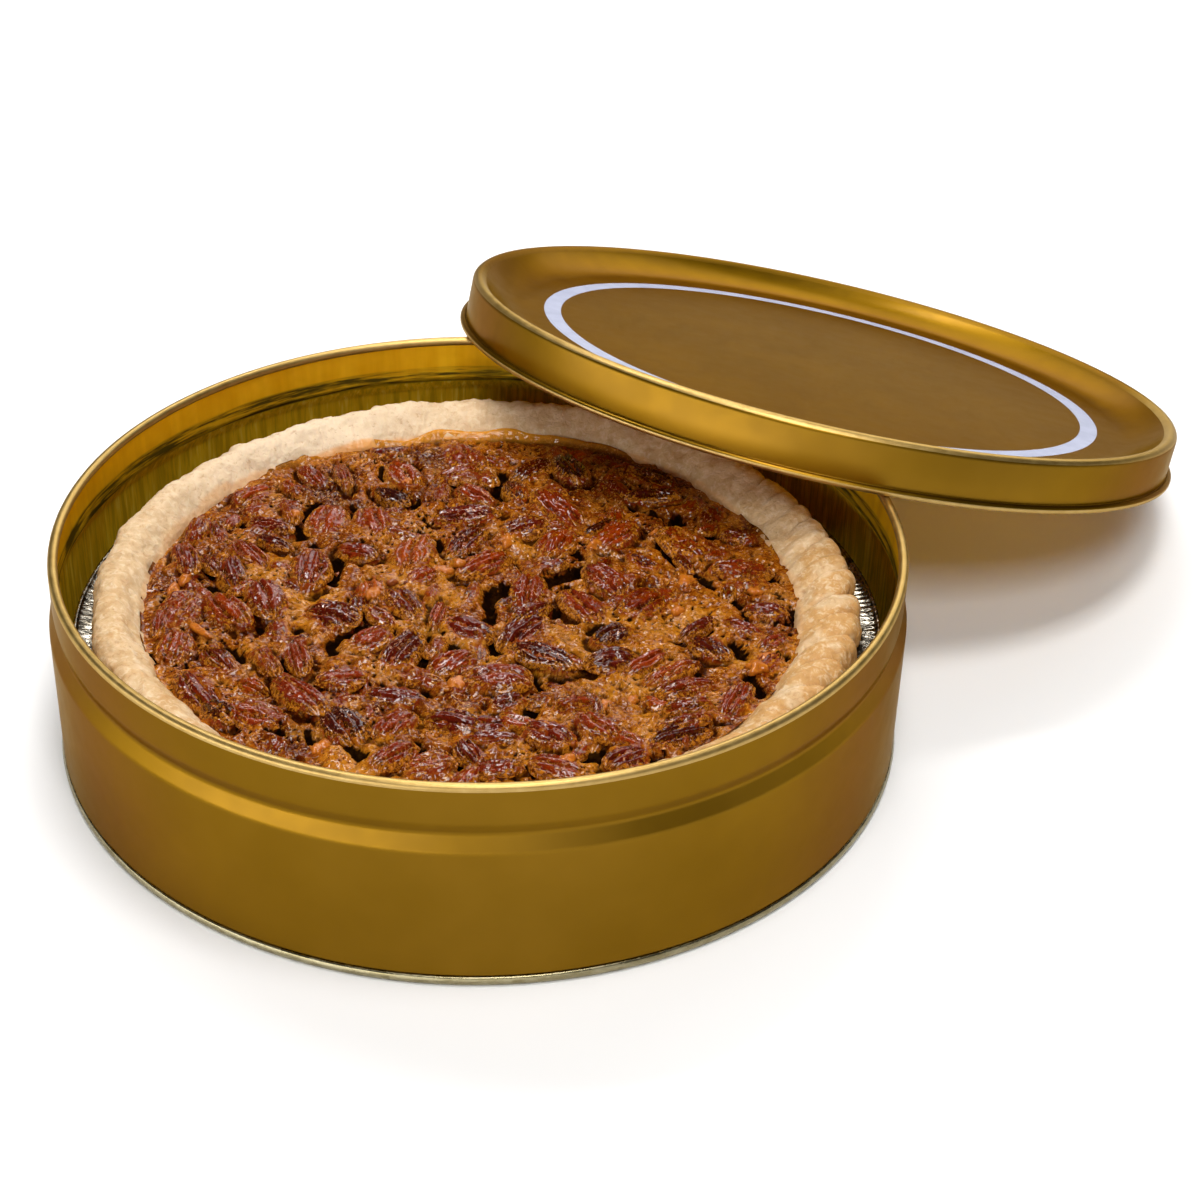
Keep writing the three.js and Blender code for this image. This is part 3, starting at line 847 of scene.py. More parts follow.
# ---- Crust -------------------------------------------------------------------------------------------
def build_crust():
    # The shell's underside up to the flange; then the rim; then the inside, under the filling.
    outer = [(0.0, 2.3), (60.0, 2.3), (95.8, 2.3), (104.0, 18.0), (111.6, 34.0)]
    rim = smooth_curve(RIM_SECTION, 4)
    inner = [(97.0, 30.0), (88.0, 7.3), (60.0, 7.2), (0.0, 7.2)]
    profile = np.vstack([outer, rim, inner])
    verts, rows, faces, _ = revolve(profile, CRUST_COLUMNS)
    angle = np.arctan2(verts[:, 1], verts[:, 0])
    circle = around(angle)
    rim_share = np.clip((rows - len(outer)) / (len(rim) - 1), 0, 1)  # 0 on the flange, 1 at the filling
    # The crimps lie closer together at the back, and are pressed deepest at the right.
    right, left, back = lobe(angle, -8, 52), lobe(angle, 196, 42), lobe(angle, 98, 50)
    sweep = 0.72 * smoothstep(0.25, 1.0, rim_share) - 0.22 * smoothstep(0.3, 0.0, rim_share)
    phase = CRUST_CRIMPS * angle / TAU - 2.6 * np.cos(angle) - 0.5 * np.sin(2 * angle)
    phase = phase + 0.5 * fbm(circle, 0.2, 2, 51) + 0.12 * noise(verts, 7, 52) + sweep
    t = phase - np.floor(phase)
    uneven = 0.35 + 0.95 * lattice(np.floor(phase).astype(int) % CRIMP_NUMBERS, 0, 0, 53)
    strength = uneven * (0.5 + 0.8 * right + 0.1 * left)
    reach = 1 - smoothstep(0.28 + 0.42 * right, 0.6 + 0.38 * right, rim_share)
    pressed = smoothstep(0.02, 0.2, rim_share) * reach
    gap = np.minimum(t, 1 - t)
    crease = peak(gap, CREASE_WIDTH)
    roundness = np.sin(math.pi * t) ** 0.8
    relief = strength * (0.75 * (roundness - 0.5) - 0.9 * crease + 0.5 * (t - 0.5)) * pressed
    # Along the back the edge is nicked more finely.
    fine_phase = BACK_NICKS * angle / TAU + 0.7 * fbm(circle, 0.16, 2, 67) + 0.5 * sweep
    fine_gap = np.abs(fine_phase - np.floor(fine_phase) - 0.5)
    depth = 0.3 + 0.9 * lattice(np.floor(fine_phase).astype(int) % CRIMP_NUMBERS, 0, 0, 69)
    window = smoothstep(0.03, 0.2, rim_share) * smoothstep(0.62, 0.3, rim_share)
    nick = peak(0.5 - fine_gap, NICK_WIDTH) * back * window
    rounded = 1.2 * np.sqrt(1 - (2 * fine_gap) ** 2) - 0.7
    relief += rounded * back * window * depth - NICK_DEPTH * nick * depth
    # At the left the rim is nearly smooth, with a notch at the outer edge now and then.
    notch = peak(gap, NOTCH_WIDTH) * left * smoothstep(0.02, 0.12, rim_share)
    notch = notch * smoothstep(0.46, 0.2, rim_share)
    relief -= NOTCH_DEPTH * notch * (uneven > 0.6)
    lumps = 0.9 * fbm(verts, 15, 3, 55) + 0.4 * fbm(verts, 5.2, 2, 57)
    # Fine wrinkles run across the rim.
    across = stack(angle * 36 + 0.5 * noise(verts, 5, 58), rim_share * 5 + 0.5 * noise(verts, 5, 60))
    lumps += 0.55 * (0.35 - np.abs(noise(across, 1.0, 62)))
    taper = smoothstep(0.0, 0.1, rim_share) * (1 - smoothstep(0.95, 1.0, rim_share))
    push = relief + (lumps + 0.12 * fbm(verts, 2.0, 2, 59)) * taper
    # The push follows the section's own normal.
    tangent = np.gradient(profile, axis=0)
    tangent /= np.linalg.norm(tangent, axis=1)[:, None]
    radius = np.hypot(verts[:, 0], verts[:, 1])
    near_filling = smoothstep(0.55, 1.0, rim_share) * (radius > 1)
    outward = push * tangent[rows, 1] + edge_bulge(angle) * near_filling
    verts[:, :2] *= (1 + outward / np.where(radius > 0, radius, 1))[:, None]
    verts[:, 2] -= push * tangent[rows, 0]
    lift = smoothstep(0.12, 0.4, rim_share) * (1 - smoothstep(0.6, 0.95, rim_share))
    verts[:, 2] += lift * (CRUST_LIFT * np.cos(angle - CRUST_LIFT_HEADING) + 0.6 * fbm(circle, 0.35, 2, 61))
    # The filling sits a little to the left, so the rim is narrower there.
    verts[:, :2] += CRUST_CENTRE + near_filling[:, None] * np.subtract(FILLING_CENTRE, CRUST_CENTRE)
    # Baked golden on the crimps, at the outer edge and in the notches. Toward the front right and the front
    # left it darkens more: partly baked colour, partly painted shade on the sides the lamps light most.
    golden = fbm(verts, 9, 3, 63)
    bake = pressed * right * (0.3 + 0.9 * roundness * uneven + 0.6 * golden)
    bake = bake * smoothstep(0.75, 0.35, rim_share)
    bake += 0.9 * notch + 0.45 * smoothstep(0.3, 0.08, rim_share) * (1 + golden)
    # Painted shade, partly browning: darker toward the front right and the front left.
    bake += 0.8 * lobe(angle, -26, 50) * (0.8 + golden) * smoothstep(0.98, 0.8, rim_share)
    bake += (0.5 * lobe(angle, -50, 34) + 0.38 * lobe(angle, 212, 40)) * (1 + 0.5 * golden)
    # Caramel has stained the crust where the filling boiled over.
    beyond = np.hypot(*(verts[:, :2] - FILLING_CENTRE).T) - FILLING_RADIUS - edge_bulge(angle)
    spread = 0.3 + 0.5 * fbm(circle, 0.12, 3, 65)
    stain = smoothstep(spread + 0.6, spread - 0.4, beyond) * (rim_share > 0.6)
    attributes = {
        "bake": np.clip(bake, 0, 1),
        # Painted shade in the creases and the back's nicks.
        "crease": np.clip(crease * pressed * strength + 0.6 * nick * depth, 0, 1),
        "stain": stain * (0.25 + 0.75 * lobe(angle, 92, 36)),
        # Painted light on the back left of the rim.
        "pale": lobe(angle, 124, 32),
    }
    piece = make_piece("pastry_shell", verts, faces, [PASTRY], attributes=attributes)
    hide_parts("crust")
    return piece


# ---- Pecans ------------------------------------------------------------------------------------------
# Each half that shows: x, y, heading in degrees, length, width, how bare it is, how dark it is.
HALVES = [
    (-57, 68, -55, 18, 8, 0.8, 0.5), (-47, 68, -80, 20, 7, 0.8, 0.5), (-76, 57, 45, 18, 11, 0.6, 0.3),
    (-30.5, 56, -42, 17, 8.5, 1, 1), (-27, 70, -60, 18, 13, 0.6, 0.35), (-6, 82, -60, 22, 14, 0.5, 0.45),
    (-8, 70, 20, 16, 10, 0.5, 0.4), (-2.5, 56.5, -40, 17, 9.5, 0.9, 0.4),
    (-63, 45, -75, 16, 8, 0.15, 0.3), (-51, 40, 78, 20, 15, 0.6, 0.3),
    (-36, 39, -75, 20, 12.5, 0.75, 0.35), (-69, 35.5, -25, 18, 7.5, 0.95, 0.6),
    (-67.5, 26.5, -32, 16, 6.5, 0.8, 0.8), (-40, 20, -30, 15, 9.5, 1, 0.5),
    (-22, 20, 80, 25, 15, 0.6, 0.2), (-6, 42.5, 0, 24, 10, 0.85, 0.6),
    (-5.5, 27.5, 55, 20, 11.5, 0.8, 0.75), (-74.5, 20, -50, 20, 10, 0.7, 0.4),
    (-93, 32, 80, 17, 9, 0.5, 0.45), (-86, 32, -70, 14, 7, 0.4, 0.5), (-94, 15, -70, 20, 9, 0.7, 0.5),
    (-86, 13, -60, 16, 7, 0.5, 0.6), (-79, 7, -70, 18, 10, 0.75, 0.6), (-54, 9, 88, 25, 13.5, 0.9, 0.5),
    (-19, 6, 40, 12, 9, 0.7, 0.35), (1, 13, 42, 24, 11, 0.7, 0.35), (-32, 84, 8, 15, 7, 0.3, 0.6),
    (-62, 58, -50, 18, 8, 0.1, 0.2), (17, 73.5, 35, 18, 10.5, 0.7, 0.8), (11, 59, -70, 16, 9, 0.35, 0.8),
    (30, 74, -70, 22, 12, 0.8, 0.95), (25, 47, -52, 25, 13, 0.95, 0.4), (45, 62, -50, 16, 8, 0.5, 0.6),
    (58, 69, -35, 20, 12, 0.3, 0.8), (57, 55, -8, 21, 10, 0.7, 0.85), (43, 29, 42, 22, 13, 0.7, 0.3),
    (38, 34.5, 42, 15, 5, 0.7, 0.95), (14, 35, 20, 18, 11, 0.45, 0.6), (24, 26, 60, 18, 14, 0.7, 0.35),
    (22, 13, 0, 12, 8, 0.5, 0.5), (39, 3, -55, 21, 11.5, 0.85, 0.4), (67, 25, -50, 25, 17, 0.05, 0.4),
    (84, 30, -20, 13, 8, 0.5, 0.6), (83, 10, 3, 22, 10, 0.5, 0.4), (52, 15, -45, 14, 8, 0.5, 0.7),
    (47, 4, 20, 9, 7, 0.3, 0.4), (14.5, -3.5, 80, 18, 12, 0.85, 0.4), (31, -11, -65, 22, 14, 0.8, 0.4),
    (50, -10, 55, 22, 14, 0.85, 0.45), (88, -14.5, -12, 15, 8.5, 0.6, 0.5),
    (-93, -13, 75, 22, 14, 0.4, 0.35), (-78, -15, -55, 25, 12, 0.7, 0.35),
    (-67, -8, -70, 22, 13, 0.85, 0.5), (-46, -17, -20, 20, 15, 0.75, 0.7),
    (-35, -3, 90, 14, 11, 0.5, 0.1), (-24, -9, -60, 18, 12, 0.6, 0.65),
    (-13.5, -17, 78, 16, 6, 0.8, 0.35), (-34, -29.5, 32, 16, 12.5, 0.7, 0.35),
    (-24, -37, 60, 21, 11.5, 0.8, 0.75), (-55, -40, -76, 20, 8.5, 0.95, 0.4),
    (-64, -42, -66, 18, 8, 0.1, 0.35), (-98, -21, 85, 14, 6, 0.8, 0.4), (-92, -34, 80, 16, 12, 0.35, 0.3),
    (-83, -56, -60, 23, 12.5, 0.85, 0.55), (-53, -60, -52, 25, 13, 0.75, 0.45),
    (-41, -51, 15, 17, 12, 0.5, 0.35), (-26, -58, -10, 21, 11, 0.7, 0.6), (-9, -42, 35, 18, 12, 0.8, 0.4),
    (-67, -55, -30, 11, 7, 0.4, 0.2), (-65, -69, -15, 17, 12, 0.45, 0.3),
    (-40, -73, -60, 20, 14, 0.85, 0.85), (-25, -74, 50, 17, 11.5, 0.75, 0.4),
    (-8, -73, -14, 18, 10.5, 0.8, 0.6), (-25, -89, 40, 18, 10, 0.5, 0.4),
    (-15, -92, 15, 17, 13, 0.1, 0.3), (-4, -87, -60, 12, 8, 0.8, 0.6), (-77, -68, -50, 16, 10, 0.4, 0.9),
    (-78, -41, -50, 19, 9, 0.4, 0.6), (15, -15, 38, 16, 9, 0.7, 0.6), (12, -24, 48, 22, 12, 0.85, 0.7),
    (18, -38, -38, 25, 14, 0.95, 0.85), (39, -29.5, 28, 15, 9.5, 0.85, 0.85),
    (39, -42, 15, 17, 11, 0.9, 0.7), (49, -43, 42, 19, 7, 0.8, 0.3), (56, -48, 33, 22, 9, 0.35, 0.2),
    (5, -52, -4, 21, 15, 0.65, 0.4), (-4, -24, -25, 18, 13, 0.7, 0.6), (69, -33, -62, 17, 13, 0.75, 0.75),
    (66, -25, 40, 17, 5.5, 0.7, 0.6), (80, -23, -33, 15, 7, 0.6, 0.45), (60, -56, 20, 21, 10, 0.65, 0.45),
    (76, -63, 65, 20, 9, 0.7, 0.4), (90, -43, 62, 17, 9, 0.6, 0.45), (19, -79, -42, 18, 13.5, 0.75, 0.5),
    (33, -75, -50, 17, 11, 0.6, 0.35), (27, -65, 15, 14, 8, 0.3, 0.35), (2, -73, 5, 14, 9, 0.7, 0.5),
    (3, -80, -3, 19, 6.5, 0.6, 0.5), (59, -83, 28, 21, 9.5, 0.7, 0.8), (42, -92, 35, 16, 10.5, 0.8, 0.6),
    (21, -94, -22, 18, 11, 0.35, 0.4), (4, -94, 5, 17, 9.5, 0.5, 0.5), (7, -63, 20, 12, 8, 0.6, 0.6),
    (60, -66, 5, 15, 8, 0.5, 0.5), (32, -64, -72, 12, 7, 0.4, 0.5), (58, -74, 18, 18, 8, 0.3, 0.5),
]
COATED_HALVES = 54  # more halves lie under the skin and mostly only raise it
COATED_REACH = 96
COATED_ROOM = 3.6  # the least space that one more of them needs
COATED_SEED = 400
COATED_HEIGHT = 0.75  # as a share of a bare one's
COATED_TRIES = 4000
# The grooves of a half, across its width from -1 to 1: place, width and depth. Most show the rounded back
# with two deep grooves, and some the flat face with one.
BACK_GROOVES = [(-0.38, 0.1, 1), (0.36, 0.1, 1), (0, 0.06, 0.45), (-0.72, 0.06, 0.5), (0.7, 0.06, 0.5)]
FACE_GROOVES = [(0.02, 0.13, 1), (-0.5, 0.07, 0.55), (0.46, 0.07, 0.55), (-0.8, 0.05, 0.4), (0.76, 0.05, 0.4)]
BACK_SHARE = 0.68


def swell(x, y):
    """The custard's height above its level, as in the solids: x and y from the filling's axis."""
    inward = 1 - np.hypot(x, y) / FILLING_RADIUS
    bumps = 0.55 * np.sin(x / 11 + 0.7) * np.cos(y / 9) + 0.4 * np.sin((x - y) / 6.5)
    return smoothstep(0, 0.12, inward) * (0.7 + bumps)


def scatter(rng, reach):
    """A random place within this distance of the filling's axis."""
    radius, turn = reach * math.sqrt(rng.random()), TAU * rng.random()
    return radius * math.cos(turn), radius * math.sin(turn)


def placed(u, v, x, y, turn):
    """A lump's own u and v, turned and moved to where it lies."""
    cos, sin = math.cos(turn), math.sin(turn)
    return x + u * cos - v * sin, y + u * sin + v * cos


def half_dome(u, v):
    """Height of a half's back without its grooves, as a share of its full height."""
    reach = np.maximum(np.sqrt(np.clip(1 - u * u, 0, 1)) ** 0.8, 0.05)
    across = np.clip(1 - np.abs(v / reach) ** 2.8, 0, 1) ** 0.6
    return across * (0.25 + 0.75 * np.clip(1 - u**4, 0, 1))


def half_groove(u, v, seed, kind):
    """How deep in a groove each place is, from 0 to 1."""
    reach = np.maximum(np.sqrt(np.clip(1 - u * u, 0, 1)) ** 0.6, 0.08)
    across = v / reach + 0.16 * noise(stack(1.3 * u, 3.7 * seed, v), 1.0, 75)
    grooves = BACK_GROOVES if kind < BACK_SHARE else FACE_GROOVES
    depth = np.max([deep * peak(across - place, width) for place, width, deep in grooves], axis=0)
    patchy = 0.75 + 0.35 * noise(stack(2.2 * u, 1.5 * v, 1.9 * seed), 1.0, 77)
    return np.clip(depth * patchy, 0, 1) * smoothstep(1.0, 0.8, np.abs(u))


class Half:
    """One pecan half: where it lies, and its height over a place."""

    def __init__(self, row, seed):
        x, y, heading, self.length, self.width, self.bare, self.tone = row
        self.seed = seed
        self.turn = math.radians(heading)
        rise, slope_u, slope_v, self.kind, sink = lattice(np.full(5, seed), np.arange(1, 6), 0, 71)
        # A half that would reach past the filling's edge is pulled in.
        dx, dy = x - FILLING_CENTRE[0], y - FILLING_CENTRE[1]
        relative = self.turn - math.atan2(dy, dx)
        extent = math.hypot(self.length * math.cos(relative), self.width * math.sin(relative)) / 2
        pull = min(1.0, (FILLING_RADIUS - FILLING_MARGIN - extent) / max(math.hypot(dx, dy), 1e-6))
        self.x, self.y = dx * pull, dy * pull
        self.height = 2.9 + 1.4 * rise + 0.03 * self.length
        self.slope_u = 0.14 * (slope_u - 0.5) * 2
        self.slope_v = 0.2 * (slope_v - 0.5) * 2
        self.foot = FILLING_Z + swell(self.x, self.y) - 2.2 + 1.2 * sink + 0.5 * self.bare

    def local(self, x, y):
        """Places in the half's own frame, where its outline is about the unit circle."""
        u, v = placed(x - self.x, y - self.y, 0, 0, -self.turn)
        return u * 2 / self.length, v * 2 / self.width

    def plane(self, u, v):
        return self.foot + self.slope_u * u * self.length / 2 + self.slope_v * v * self.width / 2

    def top(self, u, v):
        """Height of the grooved back, and how deep in a groove each place is."""
        groove = half_groove(u, v, self.seed, self.kind)
        return self.plane(u, v) + self.height * half_dome(u, v) * (1 - 0.6 * groove), groove

    def hull(self, u, v):
        """The smooth back that the skin of the custard lies over, falling away outside the half."""
        r = np.hypot(u, v)
        inside = self.height * half_dome(u, v)
        return self.plane(u, v) + np.where(r < 1, inside, -2.0 * self.height * (r - 1))


def lay_halves():
    halves = [Half(row, i) for i, row in enumerate(HALVES)]
    rng = np.random.default_rng(5)
    tries = 0
    while len(halves) < len(HALVES) + COATED_HALVES and tries < COATED_TRIES:
        tries += 1
        x, y = scatter(rng, COATED_REACH)
        room = min(math.hypot(x - h.x, y - h.y) - 0.32 * (h.length + h.width) / 2 for h in halves)
        if room < COATED_ROOM:
            continue
        length = rng.uniform(9, 15)
        row = (
            x + FILLING_CENTRE[0], y + FILLING_CENTRE[1], rng.uniform(0, 180), length,
            length * rng.uniform(0.45, 0.65), rng.choice([0.1, 0.25, 0.5]), rng.uniform(0.2, 0.7),
        )
        half = Half(row, COATED_SEED + tries)
        half.height *= COATED_HEIGHT
        halves.append(half)
    return halves


def build_pecans(halves):
    """The halves, as one piece: each an oval grid with its ridges, closed underneath."""
    heap = Heap()
    for place, half in enumerate(halves):
        gx, gy, quads, border = disc_grid(HALF_GRID if place < len(HALVES) else HALF_GRID // 2)
        # Closer rows towards the outline, where the sides turn down.
        r = np.hypot(gx, gy)
        ease = np.where(r > 0, np.sin(np.clip(r, 0, 1) * math.pi / 2) / np.where(r > 0, r, 1), 1.0)
        u, v = gx * ease, gy * ease
        r = np.hypot(u, v)
        height, groove = half.top(u * 0.999, v * 0.999)
        ragged = around(np.arctan2(v, u), 2.3 * half.seed)
        outline = 1 + 0.09 * fbm(ragged, 0.7, 2, 79) * r
        along, across = u * outline * half.length / 2, v * outline * half.width / 2
        wrinkle = stack(along / 4.5, across / 1.3, half.seed * 7.0)
        height = height + 0.38 * fbm(wrinkle, 1.0, 2, 73) * smoothstep(1.0, 0.8, r)
        tone = half.tone + 0.001 * (half.seed % 50)
        rim = smoothstep(0.55, 1.0, r) + 0.5 * (1 - half.bare)
        top = stack(*placed(along, across, half.x, half.y, half.turn), height)
        heap.add(
            top, [half.x, half.y, half.foot - 1.2], quads, border,
            tone=(tone, tone), groove=(groove, 0), rim=(rim, 1), along=(along, 0), across=(across, 0),
        )
    piece = heap.piece("pecan_halves", NUT_SKIN)
    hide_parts("pecan_filling")
    return piece


# ---- Custard -----------------------------------------------------------------------------------------
# Cracks and holes in the skin: half-width, then the points of its path.
CRACKS = [
    (1.3, (-55, 50), (-58, 46), (-59, 41)), (1.2, (-43, 51), (-40, 51), (-42.5, 47)),
    (1.0, (-81, 43), (-79, 40)), (0.9, (-60, 37), (-59, 33)), (1.0, (-55, 27), (-53.5, 25)),
    (1.3, (-14.5, 29), (-14, 25)), (1.4, (-46, 17), (-46.5, 9), (-47, 3)),
    (2.4, (-84, 0), (-79, -3), (-75, -1)), (1.0, (-86, 12), (-85, 8)), (0.9, (-22.5, 54), (-22, 51)),
    (1.0, (-34, 75), (-34.5, 69)), (1.4, (-25, 77), (-23, 75)), (0.8, (-11, 68), (-9, 65)),
    (1.5, (6.5, 74), (7, 70), (5.5, 64), (4.8, 60)), (0.9, (6, 59), (8, 54)),
    (1.0, (21.5, 36.5), (27, 34.5)), (1.5, (6, 20), (9, 18)), (0.9, (10.5, 16), (11, 9)),
    (2.5, (19.5, 4.5), (23, 6), (28, 7.5), (31, 12)), (2.0, (65, 43), (63, 36), (60, 31), (58, 26)),
    (1.3, (71, 37.5), (74, 35), (76.5, 32)), (1.3, (59, 22), (61, 17), (64, 13), (68, 9)),
    (1.5, (92, 9), (93, 5)), (1.4, (70, 6), (73, 1)), (1.0, (46, 45), (45, 41)), (1.2, (50, 50), (53, 47)),
    (1.6, (57, 46), (59, 42)), (1.1, (30, 21), (31, 18)), (1.5, (-41, -8), (-39, -13), (-37.5, -17)),
    (1.5, (-32, -20), (-36, -22), (-41, -26), (-46, -30), (-45, -35)),
    (1.0, (-29, -21.5), (-26.5, -25), (-25.5, -28)), (1.6, (-18, -28), (-17, -34), (-17.5, -42)),
    (1.3, (-60, -41), (-58.5, -47), (-57, -51)), (2.2, (-77, -32), (-75, -36), (-72.5, -40)),
    (0.9, (-68, -21), (-66.5, -24)), (1.3, (-56, -23), (-53.5, -27)), (1.7, (-9, -33), (-5, -36), (0, -38)),
    (1.2, (-59, -75), (-57, -77)), (1.1, (-50, -75), (-49, -79)), (1.8, (-37, -83), (-34, -88)),
    (0.9, (-19, -82), (-17, -84)), (1.5, (-11, -85), (-8, -88), (-5.5, -92)),
    (1.0, (-17, -56), (-15.5, -58)), (1.0, (-99, -36), (-97.5, -41)), (2.2, (7.5, 0), (6.5, -4), (5, -7)),
    (1.7, (3, -1), (2.5, -10), (2.2, -19)), (2.0, (4.5, -28), (4, -35)), (1.9, (33.5, -25), (37, -23)),
    (1.4, (9, -41), (13, -45), (15.5, -50), (18.5, -54)), (1.2, (20, -50.5), (23, -51.5)),
    (1.7, (16, -64), (13, -67), (11.5, -70)), (1.0, (10, -71), (10.5, -76)), (2.0, (29, -87.5), (34, -86)),
    (1.5, (49.5, -89), (51, -93)), (1.3, (76, -3), (78, -7), (80, -11)), (1.0, (81, -15), (81.3, -18)),
    (1.3, (76.5, -30), (78, -34), (78.2, -38)), (1.9, (79, -49), (81, -53), (81.5, -57)),
    (0.8, (54.5, -37), (55, -39.5)), (1.3, (97.5, -13), (97, -20)), (1.0, (65, -48), (66, -51)),
    (1.0, (35, -64), (34.5, -67)), (1.1, (23, -13), (23.5, -16)), (1.0, (90, -36), (92, -39)),
]
# Places by the crust where burst bubbles form a honeycomb: x, y, reach in x, reach in y, strength.
HONEYCOMBS = [(-87, -56, 6, 10, 1.0), (96, -12, 5, 14, 0.8)]


def crack_field(x, y):
    """1 in the middle of a crack, 0 away from it. x and y are in the tin's frame."""
    points = stack(x, y)
    wx = x + 0.9 * noise(points, 2.6, 81) + 0.4 * noise(points, 1.1, 83)
    wy = y + 0.9 * noise(points, 2.6, 82) + 0.4 * noise(points, 1.1, 84)
    field = np.zeros(len(x))
    for half_width, *path in CRACKS:
        path = np.array(path, float)
        low, high = path.min(0) - 5, path.max(0) + 5
        near = np.nonzero((x > low[0]) & (x < high[0]) & (y > low[1]) & (y < high[1]))[0]
        for a, b in zip(path[:-1], path[1:]):
            along = b - a
            dx, dy = wx[near] - a[0], wy[near] - a[1]
            t = np.clip((dx * along[0] + dy * along[1]) / (along @ along), 0, 1)
            gap = np.hypot(dx - t * along[0], dy - t * along[1])
            field[near] = np.maximum(field[near], smoothstep(half_width + 0.7, half_width - 0.6, gap))
    return field


def smeared(values, reach):
    """The grid of values, each replaced by the mean of the square around it."""
    width, side = CORE_GRID + 1, 2 * reach + 1
    padded = np.pad(values.reshape(width, width), reach, mode="edge")
    total = np.zeros((width, width))
    for dx, dy in np.ndindex(side, side):
        total += padded[dy:dy + width, dx:dx + width]
    return (total / side**2).ravel()


